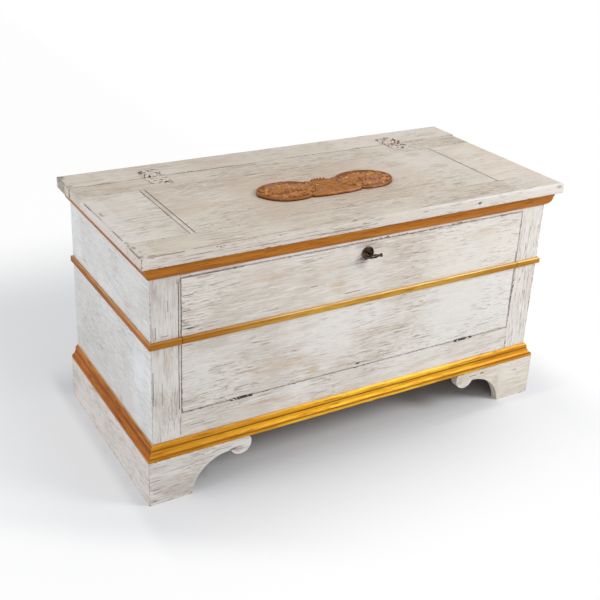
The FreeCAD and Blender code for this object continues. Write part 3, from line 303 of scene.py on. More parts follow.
def paint(name, board, seed, washes, spots, strokes):
    """Worn white paint on one board. Spots are (place, radii, colour, strength). Washes lie under
    the brush lines and strokes over them: (place, half lengths, half width, colour, strength).
    A bare side (axis, direction, reach) shows the wood: the paint ends so far from its face."""
    grain, tint, pale, lines, dashes, wear, bare = board
    low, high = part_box(name)
    tree = Tree("paint_" + name, seed, FINE_BOARDS.get(name, 1.0))

    # two whites, and faint clouds where the paint is thin
    colour = tree.mix(tree.ramp(tree.noise(*TWO_WHITES), 0.36, 0.66), tint, pale)
    for pattern, start, full, strength, shade in THIN_PAINT:
        cover = tree.ramp(tree.grained(grain, pattern), start, full, 0, strength * lines)
        colour = tree.mix(cover, colour, shade)
    bright = tree.grained(grain, BRIGHT_STREAKS)
    colour = tree.mix(tree.ramp(bright, 0.5, 0.64, 0, 0.7), colour, pale)

    for spot, halves, half_width, shade, strength in washes:
        colour = tree.mix(tree.near_block(spot, halves, half_width, strength), colour, shade)

    # brush and grain lines: many faint ones and fewer thin dark ones, in patches
    where = tree.ramp(tree.noise(*LINE_PATCHES), 0.4, 0.6, 0.25, 1.0)
    marks = []
    for pattern, start, full, strength, shade in BRUSH_MARKS:
        marks.append(tree.grained(grain, pattern))
        cover = tree.times(tree.ramp(marks[-1], start, full), where, strength * lines)
        colour = tree.mix(cover, colour, shade)
    hair, line = marks[:2]
    stroke = tree.grained(grain, PALE_STROKES)
    colour = tree.mix(tree.ramp(stroke, 0.55, 0.62, 0, 0.7), colour, pale)

    # short dark dashes where the paint broke along the grain
    least = tree.calc("SUBTRACT", DASH_LEVEL, tree.times(where, DASH_PATCHES * dashes))
    above = tree.calc("SUBTRACT", tree.grained(grain, DASHES), least)
    dashed = tree.ramp(above, 0, DASH_FADE, 0, DASH_STRENGTH)
    colour = tree.mix(dashed, colour, WOOD_DARK)

    # rubbed and dirty edges
    edge = tree.edge_distance(low, high)
    crumbs = tree.noise(*EDGE_CRUMBS)
    patches = tree.ramp(tree.noise(*EDGE_PATCHES), 0.42, 0.72)
    deep = tree.times(tree.times(patches, tree.ramp(crumbs, 0.4, 0.75)), WORN_DEPTH * wear)
    worn = tree.ramp(tree.calc("SUBTRACT", deep, edge), *WORN_FADE)
    colour = tree.mix(tree.times(worn, WORN_STRENGTH), colour, WOOD_DARK)
    grime = tree.ramp(edge, 0, GRIME_WIDTH, GRIME_STRENGTH, 0)
    colour = tree.mix(tree.times(grime, tree.ramp(crumbs, 0.35, 0.7)), colour, MAUVE)

    # single spots, broken up by the grain, and drawn lines
    ragged = tree.ramp(tree.calc("ADD", hair, line), 0.85, 1.12, 0.25, 1.0)
    for spot, radii, shade, strength in spots:
        away = tree.vector("DIVIDE", tree.vector("SUBTRACT", tree.place, spot), radii)
        near = tree.ramp(tree.vector("LENGTH", away), SOLID_SHARE, 1.0, strength, 0)
        colour = tree.mix(tree.times(near, ragged), colour, shade)
    uneven = tree.ramp(hair, 0.3, 0.55, 0.55, 1.0)
    for spot, halves, half_width, shade, strength in strokes:
        near = tree.near_block(spot, halves, half_width, strength)
        colour = tree.mix(tree.times(near, uneven), colour, shade)

    height = tree.calc("SUBTRACT", tree.times(line, 0.8), tree.calc("ADD", dashed, worn))
    if bare:
        axis, direction, reach = bare
        beyond, face = ("GREATER_THAN", high[axis]) if direction > 0 else ("LESS_THAN", low[axis])
        inner = tree.calc(beyond, tree.split()[axis], face - direction * reach)
        colour = tree.mix(inner, colour, wood_colour(tree, grain)[0])
    roughness = tree.ramp(hair, 0.3, 0.8, *PAINT_ROUGHNESS)
    return tree.finish(colour, roughness, height, gloss=PAINT_GLOSS)


def bare_wood(name, grain, seed):
    """Unpainted wood with dark edges. Each board is a little darker or lighter than the next one."""
    tree = Tree("wood_" + name, seed)
    colour, lines = wood_colour(tree, grain)
    colour = tree.mix(SHADE_STEP * (seed % SHADE_COUNT), colour, WOOD_DEEP)
    edge = tree.edge_distance(*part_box(name))
    colour = tree.mix(tree.ramp(edge, 0, DARK_EDGE_WIDTH, DARK_EDGE_STRENGTH, 0), colour, WOOD_DARK)
    return tree.finish(colour, 0.7, lines, 0.0004, 0.6)


# Gilding

# Each gilding has a light, a body and a deep colour.
BASE_GILT = (linear(246, 194, 60), linear(218, 158, 32), linear(144, 86, 8))
MID_GILT = (linear(204, 157, 60), linear(179, 127, 35), linear(141, 78, 9))
LID_GILT = (linear(203, 134, 45), linear(182, 110, 29), linear(147, 81, 14))
# A darker copy of the gilt for the sides: painted shade, as they face away from the lamp.
SHADED_SIDE_GILT = (linear(196, 118, 44), linear(167, 94, 27), linear(114, 60, 19))
# Colours of the mouldings' ends: painted shade towards the ends, which leaves the middle bright as a painted
# reflection of the lamp.
BASE_END_SHADE, MID_END_SHADE = linear(168, 98, 18), linear(162, 96, 12)
# Painted shade for the base moulding's hollow and quirk.
GROOVE_SHADE = linear(126, 72, 10)
# Pale lines along the mouldings' edges: rubbed gilt and painted highlight.
RUBBED_EDGE_AND_HIGHLIGHT = linear(232, 204, 150)
GILT_WORN = linear(98, 58, 30)
GILT_SPECKS = (230, 9, 3)
ENDS_START, ENDS_FULL = 0.1, 0.55

# The hollow colour is painted shade, the ridge colour painted light.
CARVED_HOLLOW, CARVED_RIDGE = linear(122, 70, 30), linear(182, 120, 60)
CARVED_BROWN, CARVED_ROSY = linear(150, 92, 42), linear(186, 134, 112)
# The glint colour is a painted highlight on the ridges.
CARVED_GLINT, CARVED_FOOT_SHADOW = linear(232, 172, 62), linear(84, 46, 20)
# The foot colour and how far below the hollows it lies: a painted shadow where the carving meets the lid.
CARVED_FOOT_BELOW = (0.0022, 0.0008)


def gilding(name, shades, seed, grain, metal, levels, ends):
    """Gilt paint: a body colour with lighter rubbed and darker hollow streaks.
    Levels are (height, half width, colour, strength) of lines that run along the moulding.
    Ends are the colour of the moulding's ends and how much of it the left and the right one has."""
    light, body, deep = shades
    tree = Tree("gilt_" + name, seed)
    across, back, up = tree.split()
    colour = tree.mix(tree.ramp(tree.grained(grain, GILT_STREAKS), 0.4, 0.62), body, light)
    fine = tree.grained(grain, GILT_HAIRS)
    colour = tree.mix(tree.ramp(fine, 0.5, 0.66, 0, 0.75), colour, deep)
    for level, half, shade, strength in levels:
        away = tree.calc("ABSOLUTE", tree.calc("SUBTRACT", up, level))
        uneven = tree.ramp(fine, 0.3, 0.7, strength, 0.6 * strength)
        colour = tree.mix(tree.times(tree.ramp(away, 0.3 * half, half, 1, 0), uneven), colour, shade)
    # painted shade towards the ends, around a painted reflection in the middle
    if ends:
        shade, left, right = ends
        to_left = tree.ramp(across, -ENDS_START, -ENDS_FULL, 0, left)
        to_right = tree.ramp(across, ENDS_START, ENDS_FULL, 0, right)
        colour = tree.mix(tree.calc("ADD", to_left, to_right), colour, shade)
    colour = tree.mix(tree.ramp(tree.noise(*GILT_SPECKS), 0.66, 0.73, 0, 0.6), colour, GILT_WORN)
    return tree.finish(colour, tree.ramp(fine, 0.3, 0.8, 0.42, 0.58), fine, 0.0002, 0.5, metal, 0.15)


def carved_gilt(name, hollow, ridge):
    """Gilding of the carving: painted shade in hollows, painted light on ridges, rubbed and a little rosy."""
    tree = Tree(name, 3)
    height = tree.split()[2]
    mottle = tree.noise(190, 4, 4, 0.6)
    # painted shade in the hollows and painted light on the ridges
    raised = tree.ramp(height, hollow, ridge)
    colour = tree.mix(raised, CARVED_HOLLOW, CARVED_RIDGE)
    colour = tree.mix(tree.ramp(mottle, 0.48, 0.62, 0, 0.7), colour, CARVED_BROWN)
    rosy = tree.ramp(tree.noise(30, 1, 3), 0.5, 0.62)
    colour = tree.mix(tree.times(rosy, 0.4), colour, CARVED_ROSY)
    # painted highlights: glints on the ridges
    glint = tree.times(tree.ramp(tree.noise(60, 15, 3), 0.6, 0.68), raised)
    colour = tree.mix(glint, colour, CARVED_GLINT)
    # a painted shadow at the carving's foot, where it meets the lid
    lowest, highest = (hollow - below for below in CARVED_FOOT_BELOW)
    colour = tree.mix(tree.ramp(height, lowest, highest, 0.7, 0), colour, CARVED_FOOT_SHADOW)
    return tree.finish(colour, 0.5, mottle, 0.0003, 0.5, 0.2, 0.15)


# Metal

HINGE_PALE, HINGE_GREY = linear(226, 216, 204), linear(202, 186, 174)
HINGE_RUST, HINGE_BLACK = linear(150, 116, 104), linear(38, 28, 25)
BARE_DARK, BARE_LIGHT = linear(60, 52, 47), linear(84, 76, 70)
IRON_LIGHT, IRON_DARK, IRON_ROUGHNESS = linear(92, 84, 78), linear(44, 38, 34), 0.45
BRONZE_LIGHT, BRONZE_DARK, BRONZE_ROUGHNESS = linear(104, 84, 62), linear(38, 29, 24), 0.32
SMOOTHER, ROUGHER = 0.08, 0.12

# The noise at which a rusty rim and a black place start, on painted and on nearly bare leaves.
PAINTED_RIM, PAINTED_BLACK = 0.505, 0.545
BARE_RIM, BARE_BLACK = 0.38, 0.42
FLAP_LEAF_PAINTED = 0.0025


def painted_iron(name, seed, bare_behind=None):
    """Hinges that were painted over: white, with black rubbed places and rusty rims, more of them
    in some patches. With a depth given, the paint is mostly gone, and behind that depth the
    iron is bare."""
    tree = Tree("iron_" + name, seed)
    spots = tree.noise(105, 0, 3, 0.6)
    rim, black = BARE_RIM, BARE_BLACK
    if bare_behind is None:
        rim, black = PAINTED_RIM, PAINTED_BLACK
        fewer = tree.ramp(tree.noise(34, 6, 2), 0.44, 0.56, 0.055, -0.01)
        spots = tree.calc("SUBTRACT", spots, fewer)
    small = tree.noise(420, 0, 3, 0.6)
    colour = tree.mix(tree.ramp(small, 0.4, 0.7), HINGE_PALE, HINGE_GREY)
    colour = tree.mix(tree.ramp(spots, rim, rim + 0.04), colour, HINGE_RUST)
    colour = tree.mix(tree.ramp(spots, black, black + 0.035), colour, HINGE_BLACK)
    if bare_behind is not None:
        behind = tree.calc("GREATER_THAN", tree.split()[1], bare_behind)
        colour = tree.mix(behind, colour, tree.mix(small, BARE_DARK, BARE_LIGHT))
    return tree.finish(colour, 0.5, small, 0.0004, 0.8)


def dark_metal(name, light, dark, rough, seed):
    """Dull iron or bronze in two mottled colours."""
    tree = Tree(name, seed)
    fine = tree.noise(600, 0, 3, 0.6)
    colour = tree.mix(tree.ramp(tree.noise(60, 4, 4, 0.6), 0.35, 0.7), dark, light)
    roughness = tree.ramp(fine, 0.3, 0.7, rough - SMOOTHER, rough + ROUGHER)
    return tree.finish(colour, roughness, fine, 0.0002, 0.5, 0.85)


# The carved ornament, in millimetres

OVAL_PLACE, OVAL_LONG, OVAL_WIDE = 121, 88, 67
LOWEST, GROUND, RIM, CREST = 2.4, 4.4, 6.8, 9.3
RIM_FOOT, RIM_PLACE, RIM_HALF = 4, 3.2, 2.8
BEAD_PLACE, BEAD_HALF = 8, 1.2
SWAG_PITCH, TUCK_PITCH = 13, 29
FOLD_PLACE, FOLD_HALF, FOLD_HIGH = 3.6, 3.4, 6.2
CROWN_HALF, CROWN_PITCH = 25, 9.4
CROWN_FRONT, CROWN_BAND, CROWN_BEADS = 0.42 * OVAL_WIDE, 0.6 * OVAL_WIDE, 0.52 * OVAL_WIDE
CROWN_BEAD_PITCH, CROWN_BEAD_HALF = 6, 2.8

# In the leafy field, x points away from the ornament's middle. Scrolls are (middle, first
# radius, last radius, start, sweep), the angles in degrees.
SCROLL_POINTS = 44
OUTER_SCROLL, INNER_SCROLL = ((30, 3), 39, 5, -118, 560), ((-39, 2), 32, 4, -62, -540)
SCROLL_LEAVES = ((-52, 27, 9, 3.9), (58, 17, 6, 3.4))
PALMETTES = (((-6, 6), (38, 64, 90, 116, 142), 44, 0.12), ((-5, -22), (-48, -78, -106, -136), 32, 0))
BERRIES = (((30, 3), 6.4), ((-39, 2), 5.6), ((-6, -8), 5.0), ((-13, -18), 4.2), ((1, -18), 4.2), ((-6, 4), 4))

# In metres: the mesh's step, how far from the outline a corner snaps to it, and the heights
# over the lid between which the gilding turns from the painted shade of the hollows to the
# painted light of the ridges.
CARVING_STEP = 0.0011
SNAP_OUTSIDE, SNAP_INSIDE = -0.8 * CARVING_STEP, 0.25 * CARVING_STEP
HOLLOW_HEIGHT, RIDGE_HEIGHT = 0.0042, 0.0082


def hump(away):
    """A round hump: 1 at its middle, and 0 at a distance of 1 and beyond."""
    return np.sqrt(np.clip(1 - away ** 2, 0, 1))


def ripple(phase):
    """A wave between 0 and 1 that repeats with each whole number."""
    return 0.5 + 0.5 * np.cos(2 * math.pi * phase)


def from_nearest(value, pitch):
    """The distance to the nearest of the places that are a pitch apart."""
    return (value / pitch - np.round(value / pitch)) * pitch


def stroke(x, y, line, wide_start, wide_end, high):
    """The height of a rounded stroke along a line of points, tapering from end to end."""
    raised = np.zeros_like(x)
    pairs = list(zip(line, line[1:]))
    for count, (start, end) in enumerate(pairs):
        share = count / len(pairs)
        half = wide_start + (wide_end - wide_start) * share
        run, rise = end[0] - start[0], end[1] - start[1]
        along = ((x - start[0]) * run + (y - start[1]) * rise) / (run * run + rise * rise)
        along = np.clip(along, 0, 1)
        away = np.hypot(x - start[0] - along * run, y - start[1] - along * rise)
        raised = np.maximum(raised, high * hump(away / half))
    return raised


def leaf(x, y, root, angle, length, half, high):
    """The height of a leaf with a notched edge and a vein, pointing away from its root."""
    turn = math.radians(angle)
    run, rise = x - root[0], y - root[1]
    along = (run * math.cos(turn) + rise * math.sin(turn)) / length
    across = np.abs(rise * math.cos(turn) - run * math.sin(turn))
    share = np.clip(along, 0, 1)
    notches = 1 + 0.2 * np.cos(7 * math.pi * share)
    wide = half * np.sin(math.pi * share ** 0.7) * notches + 0.01
    raised = high * hump(across / wide)
    raised -= 0.45 * high * np.exp(-(across / 0.9) ** 2) * (raised > 0)
    return np.where((along > 0) & (along < 1), raised, 0)


def spiral(centre, first, last, start, sweep):
    """Points of a scroll that winds from its first radius to its last one."""
    line = []
    for count in range(SCROLL_POINTS):
        share = count / (SCROLL_POINTS - 1)
        radius, angle = first * (last / first) ** share, math.radians(start + sweep * share)
        line.append((centre[0] + radius * math.cos(angle), centre[1] + radius * math.sin(angle)))
    return line


def leafy_field(x, y):
    """Two leafy scrolls, palmettes and berries that fill an oval field."""
    outer, inner = spiral(*OUTER_SCROLL), spiral(*INNER_SCROLL)
    shapes = [stroke(x, y, outer, 4.2, 2.4, 3.8), stroke(x, y, inner, 4.0, 2.2, 3.6)]
    shapes.append(stroke(x, y, [inner[0], outer[0]], 4.2, 4.2, 3.8))

    # leaves on both sides of each scroll, smaller as it winds in
    for line, side in ((outer, 1), (inner, -1)):
        for count in range(1, len(line) - 2, 3):
            start, end = line[count], line[count + 1]
            along = math.degrees(math.atan2(end[1] - start[1], end[0] - start[0]))
            size = 1 - 0.75 * count / len(line)
            for turn, length, half, high in SCROLL_LEAVES:
                shapes.append(leaf(x, y, start, along + turn * side, length * size, half * size, high))

    # a palmette between the scrolls, above and below, and the berries
    for root, angles, length, shorter in PALMETTES:
        for angle in angles:
            shapes.append(leaf(x, y, root, angle, length - shorter * abs(90 - angle), 8, 3.8))
    for centre, radius in BERRIES:
        shapes.append(4.8 * hump(np.hypot(x - centre[0], y - centre[1]) / radius))
    return np.maximum.reduce(shapes)


def carved_height(x, y, inside):
    """Height of the carving over the lid, from the place and the distance to the outline."""
    height = 3.0 + 1.6 * hump(1 - np.clip(inside / 3, 0, 1))

    # between the ovals a gathered ribbon with swags, and its rolled front edge
    swag = ripple((y + x * x / 360 + 2.6 * np.sin(x / 15 + y / 40)) / SWAG_PITCH)
    tuck = ripple((x + 0.3 * y + 6 * np.sin(y / 11)) / TUCK_PITCH)
    height += (1.9 * swag + 0.8 * tuck + 0.9) * np.clip(inside / 5, 0, 1)
    fold = FOLD_HIGH * hump((inside - FOLD_PLACE) / FOLD_HALF) * (y < -0.72 * OVAL_WIDE)
    height = np.maximum(height, 2.6 + fold)

    # the crown behind: upright flutes over a beaded band
    crown = (y > CROWN_FRONT) & (np.abs(x) < CROWN_HALF)
    rounded = np.clip(inside / 2.5, 0.5, 1)
    flutes = 3.4 + 5.4 * hump(from_nearest(x, CROWN_PITCH) / (0.5 * CROWN_PITCH))
    height = np.where(crown & (y > CROWN_BAND), flutes * rounded, height)
    away = np.hypot(from_nearest(x, CROWN_BEAD_PITCH), y - CROWN_BEADS)
    beads = 4.8 + 3.6 * hump(away / CROWN_BEAD_HALF)
    height = np.where(crown & (y <= CROWN_BAND), beads * rounded, height)

    # the two ovals with their rims, an inner bead and the leafy fields
    for side in (-1, 1):
        out = side * x - OVAL_PLACE
        ring = np.hypot(out / OVAL_LONG, y / OVAL_WIDE)
        slope = np.hypot(out / OVAL_LONG ** 2, y / OVAL_WIDE ** 2) / np.maximum(ring, 0.001)
        depth = (1 - ring) / np.maximum(slope, 0.001)
        ground = GROUND + 1.2 * np.clip(1 - ring, 0, 1)
        rim = RIM_FOOT + (RIM - RIM_FOOT) * hump((depth - RIM_PLACE) / RIM_HALF)
        bead = 1.2 * hump((depth - BEAD_PLACE) / BEAD_HALF)
        leafy = leafy_field(0.9 * out, 0.88 * y) * np.clip((depth - 6.5) / 2.5, 0, 1)
        oval = np.where(depth < RIM_PLACE + RIM_HALF, rim, ground + np.maximum(bead, leafy))
        oval = np.where(depth < 0.8, 3.6 + depth, oval)
        height = np.where(depth > 0, np.maximum(oval, np.where(depth < 1, height, 0)), height)
    return np.clip(height, LOWEST, CREST)


def carving_grid(plate, low, high):
    """Corners of the carving in even rows, drawn onto the plate's outline near it, with each
    one's distance inside the outline."""
    spots = [corner.co for corner in plate.vertices]
    upright = [face.vertices for face in plate.polygons if abs(face.normal.z) < 0.5]
    level = [face.vertices for face in plate.polygons if face.normal.z > 0.5]
    walls, roof = BVHTree.FromPolygons(spots, upright), BVHTree.FromPolygons(spots, level)
    across = np.arange(low[0] - CARVING_STEP, high[0] + 2 * CARVING_STEP, CARVING_STEP)
    along = np.arange(low[1] - CARVING_STEP, high[1] + 2 * CARVING_STEP, CARVING_STEP)
    x, y = np.meshgrid(across, along)
    inside = np.zeros_like(x)
    down, half_way = Vector((0, 0, -1)), (low[2] + high[2]) / 2
    for row, column in np.ndindex(x.shape):
        spot = Vector((x[row, column], y[row, column], half_way))
        edge = walls.find_nearest(spot)[0]
        away = math.hypot(edge.x - spot.x, edge.y - spot.y)
        covered = roof.ray_cast(spot - down, down)[0] is not None
        inside[row, column] = away if covered else -away
        if SNAP_OUTSIDE < inside[row, column] < SNAP_INSIDE:
            x[row, column], y[row, column] = edge.x, edge.y
            inside[row, column] = 0
    return x, y, inside


def outline(rim):
    """The corners of one closed outline in their order, from its edges."""
    beside = {}
    for first, second in (edge.verts for edge in rim):
        beside.setdefault(first, []).append(second)
        beside.setdefault(second, []).append(first)
    line = list(rim[0].verts)
    while len(line) < len(rim):
        line.append(next(corner for corner in beside[line[-1]] if corner != line[-2]))
    return line


def make_ornament():
    """The carving, over the outline of the plate that it stands for."""
    low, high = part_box("lid_ornament")
    middle = (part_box("lid_front_rail")[0][1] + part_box("lid_rear_rail")[1][1]) / 2
    x, y, inside = carving_grid(NODES["lid_ornament"].data, low, high)
    scaled = (values * MILLIMETRES for values in (x, y - middle, inside))
    z = low[2] + carved_height(*scaled) / MILLIMETRES

    mesh = bmesh.new()
    grid = {}
    for row, column in np.ndindex(x.shape):
        if inside[row, column] >= 0:
            corner = (x[row, column], y[row, column], z[row, column])
            grid[row, column] = mesh.verts.new(corner)
    for row, column in grid:
        corners = [(row, column), (row, column + 1), (row + 1, column + 1), (row + 1, column)]
        if all(corner in grid for corner in corners):
            mesh.faces.new([grid[corner] for corner in corners]).smooth = True
    mesh.verts.ensure_lookup_table()
    loose = [corner for corner in mesh.verts if not corner.link_faces]
    bmesh.ops.delete(mesh, geom=loose, context="VERTS")
    rim = [edge for edge in mesh.edges if edge.is_boundary]
    upper = outline(rim)
    lower = [mesh.verts.new((corner.co.x, corner.co.y, low[2])) for corner in upper]
    for count in range(len(upper)):
        wall = (upper[count - 1], upper[count], lower[count], lower[count - 1])
        mesh.faces.new(wall).smooth = True
    for edge in rim:
        edge.smooth = False
    mesh.faces.new(lower).smooth = True
    bmesh.ops.recalc_face_normals(mesh, faces=mesh.faces)
    data = bpy.data.meshes.new("ornament_carving")
    mesh.to_mesh(data)
    mesh.free()
    piece = bpy.data.objects.new("ornament_carving", data)
    bpy.context.scene.collection.objects.link(piece)
    data.materials.append(carved_gilt("gilt_carving", low[2] + HOLLOW_HEIGHT, low[2] + RIDGE_HEIGHT))
    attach(piece, "lid")
    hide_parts("lid_ornament")


# What each board wears

# Faces that carry marks, in millimetres: of the front, of the feet and of the lid's top.
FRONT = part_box("front_flap")[0][1] * MILLIMETRES
FOOT_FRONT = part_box("bracket_foot_left")[0][1] * MILLIMETRES
LID_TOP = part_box("lid_panel")[1][2] * MILLIMETRES


def facing(face, deep, *marks):
    """Marks on an upright face of the front. Each has its place and size across and up, and
    they all reach so deep into the face."""
    return tuple(((x, face, z), (wide, deep, tall), *rest) for x, z, wide, tall, *rest in marks)


# Single spots, worn or dirty, or painted light and highlight: place and radii in millimetres,
# colour, strength.
SPOTS = {
    "front_flap": facing(
        FRONT, 6,
        # painted light: the flap's right part whiter
        (400, 420, 330, 260, FACE_WHITE, 0.4),
        (-517, 535, 8, 4, WOOD_DARK, 0.85),
        (-517, 487, 7, 3.5, WOOD_DARK, 0.85),
        (-493, 465, 26, 3, WOOD_DARK, 1.0),
        (-432, 334, 26, 14, LINE_BROWN, 0.6),
        (-144, 262, 26, 16, TAN, 0.7),
        (-86, 494, 34, 26, TAN, 0.7),
        (-17, 551, 26, 26, MAUVE, 0.8),
        (-14, 553, 10, 12, JOINT, 0.6),
        (-4, 594, 46, 9, MAUVE, 0.8),
        (30, 583, 22, 9, MAUVE, 0.55),
        (-300, 555, 130, 14, TAN, 0.5),
        (-120, 548, 90, 12, TAN, 0.55),
        (-250, 300, 150, 22, TAN, 0.5),
        (60, 330, 120, 16, CLOUD, 0.5),
        (210, 380, 80, 12, CLOUD, 0.5),
        (380, 560, 80, 20, TAN, 0.4),
    ),
    "front_stile_left": facing(
        FRONT, 6,
        (-528, 594, 9, 10, JOINT, 0.95),
        (-560, 380, 12, 60, CLOUD, 0.5),
        (-590, 590, 10, 40, MAUVE, 0.5),
    ),
    "front_bottom_rail": facing(
        FRONT, 6,
        (-300, 200, 120, 14, TAN, 0.5),
        (260, 196, 90, 10, CLOUD, 0.5),
    ),
    "lid_panel": (
        ((-400, 110, LID_TOP), (90, 12, 6), CLOUD, 0.6),
        ((-250, 66, LID_TOP), (150, 14, 6), CLOUD, 0.5),
        ((398, -33, LID_TOP), (40, 24, 6), CLOUD, 0.7),
        ((385, 82, LID_TOP), (40, 22, 6), CLOUD, 0.6),
        ((280, 22, LID_TOP), (60, 20, 6), CLOUD, 0.45),
        ((-330, -60, LID_TOP), (120, 24, 6), TAN, 0.45),
        ((60, 90, LID_TOP), (90, 18, 6), CLOUD, 0.45),
        ((250, -150, LID_TOP), (120, 12, 6), CLOUD, 0.45),
    ),
    "lid_rear_rail": (
        ((-470, 150, LID_TOP), (110, 12, 6), CLOUD, 0.5),
        ((560, 150, LID_TOP), (30, 14, 6), CLOUD, 0.6),
        ((-367, 146, LID_TOP), (9, 15, 6), LINE_BROWN, 0.9),
    ),
    "lid_front_rail": (
        # painted light: the right of the lid's front face whiter
        ((420, -304, 667), (480, 8, 44), FACE_WHITE, 0.45),
        # painted highlight along the lid's front arris
        ((380, -298, 682), (460, 5, 7), ARRIS_HIGHLIGHT, 0.8),
        ((-625, -286, 679), (9, 9, 6), WOOD_DARK, 0.7),
        ((-622, -232, LID_TOP), (7, 10, 5), WOOD_DARK, 0.8),
        ((-616, -258, LID_TOP), (8, 8, 5), LINE_DARK, 0.8),
        ((-628, -215, LID_TOP), (5, 8, 5), WOOD_DARK, 0.7),
        ((-600, -290, LID_TOP), (16, 5, 4), LINE_DARK, 0.7),
        ((150, -303, 672), (16, 6, 2), WOOD_DARK, 0.6),
        ((-40, -303, 670), (10, 6, 3), WOOD_DARK, 0.7),
        ((470, -300, 676), (14, 6, 2), LINE_DARK, 0.6),
        ((614, -301, 673), (14, 6, 7), WOOD_DARK, 0.75),
        ((628, -292, 678), (6, 12, 6), WOOD_DARK, 0.8),
        ((-65, -296, LID_TOP), (10, 6, 6), WOOD_DARK, 0.8),
        ((330, -303, 668), (9, 6, 5), WOOD_DARK, 0.9),
        ((-300, -230, LID_TOP), (200, 12, 6), CLOUD, 0.35),
        ((560, -262, LID_TOP), (40, 16, 6), TAN, 0.5),
        ((-100, -300, 662), (110, 6, 3), LINE_BROWN, 0.8),
        ((-430, -303, 671), (150, 6, 2), LINE_DARK, 0.6),
        ((-300, -303, 664), (170, 6, 2), LINE_BROWN, 0.8),
        ((-520, -303, 662), (60, 6, 2), LINE_DARK, 0.7),
        ((-200, -303, 673), (60, 6, 2), LINE_DARK, 0.6),
    ),
    "lid_end_left": (
        ((-619, -8, LID_TOP), (4, 14, 6), WOOD_DARK, 0.7),
        ((-626, -196, LID_TOP), (6, 9, 5), WOOD_DARK, 0.8),
        ((-560, 20, LID_TOP), (30, 60, 6), LID_PALE, 0.5),
    ),
    "hinge_strip": (
        ((-633, 262, 664), (9, 44, 34), JOINT, 0.8),
        ((-628, 214, LID_TOP), (18, 12, 9), MAUVE, 0.9),
        ((-630, 290, LID_TOP), (20, 22, 12), JOINT, 0.8),
        ((-560, 232, LID_TOP), (50, 12, 6), CLOUD, 0.6),
        ((-330, 270, LID_TOP), (120, 12, 6), CLOUD, 0.45),
        ((560, 240, LID_TOP), (60, 18, 6), CLOUD, 0.5),
        ((-200, 240, LID_TOP), (160, 10, 6), TAN, 0.5),
    ),
    "bracket_foot_left": facing(
        FOOT_FRONT, 6,
        (-387, 100, 16, 5, WOOD_DARK, 0.9),
        (-372, 96, 22, 12, MAUVE, 0.8),
        (-560, 30, 60, 14, MAUVE, 0.6),
    ),
    "bracket_foot_right": facing(
        FOOT_FRONT, 6,
        (430, 112, 10, 4, WOOD_DARK, 0.9),
        (350, 104, 14, 14, MAUVE, 0.5),
        (560, 90, 12, 4, WOOD_DARK, 0.8),
        (490, 60, 14, 44, CLOUD, 0.5),
    ),
}

# Patches under the brush lines: place, half lengths and half width in millimetres, colour, strength.
WASHES = {
    "lid_front_rail": (
        # painted shade: the lid's whole front face greyer
        ((0, -302, 668), (631, 0, 12), 1.6, FACE_SHADE_GREY, 0.6),
        ((-631, -255, 667), (0, 50, 14), 1.6, ROSY_WHITE, 0.9),
        # painted light: the rail paler at its right end
        ((560, -260, 681), (60, 50, 1), 30, LID_END_PALE, 0.7),
        ((-616, -255, 681), (12, 42, 1), 22, LID_END_PALE, 0.6),
    ),
    "lid_end_left": (
        ((-631, -40, 667), (0, 180, 14), 1.6, ROSY_WHITE, 0.8),
        ((-616, -10, 681), (12, 205, 1), 22, FACE_WHITE, 0.5),
    ),
    "side_board_left": (
        ((-600, 90, 230), (1, 120, 60), 170, FOOT_TINT, 0.45),
        ((-600, -60, 590), (1, 240, 60), 80, FOOT_TINT, 0.35),
    ),
    "lid_panel": (
        ((20, -60, 681), (170, 110, 1), 150, LID_WARM, 0.65),
        # painted light: the panel paler towards its right
        ((430, -40, 681), (40, 120, 1), 110, LID_END_PALE, 0.5),
        ((310, -70, 681), (50, 110, 1), 110, LID_RIGHT_LIT_PALE, 0.4),
    ),
    "hinge_strip": (
        # painted light: the strip paler on its right
        ((460, 250, 681), (160, 40, 1), 140, LID_RIGHT_LIT_PALE, 0.8),
    ),
    "front_bottom_rail": facing(
        FRONT, 1,
        # painted shade: the bottom rail darker on its left
        (-400, 190, 100, 40, 120, FOOT_TINT, 0.5),
    ),
    "front_flap": facing(
        FRONT, 1,
        (-150, 540, 330, 40, 60, TAN, 0.14),
        # painted shade on the flap's left part
        (-420, 330, 70, 40, 160, FOOT_TINT, 0.35),
        # painted light on the flap's right part
        (420, 340, 90, 60, 190, FACE_WHITE, 0.6),
        (380, 540, 120, 50, 90, FACE_CREAM, 0.45),
    ),
    "front_stile_right": facing(
        FRONT, 1,
        # painted light: the right stile whiter
        (562, 400, 40, 300, 10, FACE_WHITE, 0.4),
    ),
}

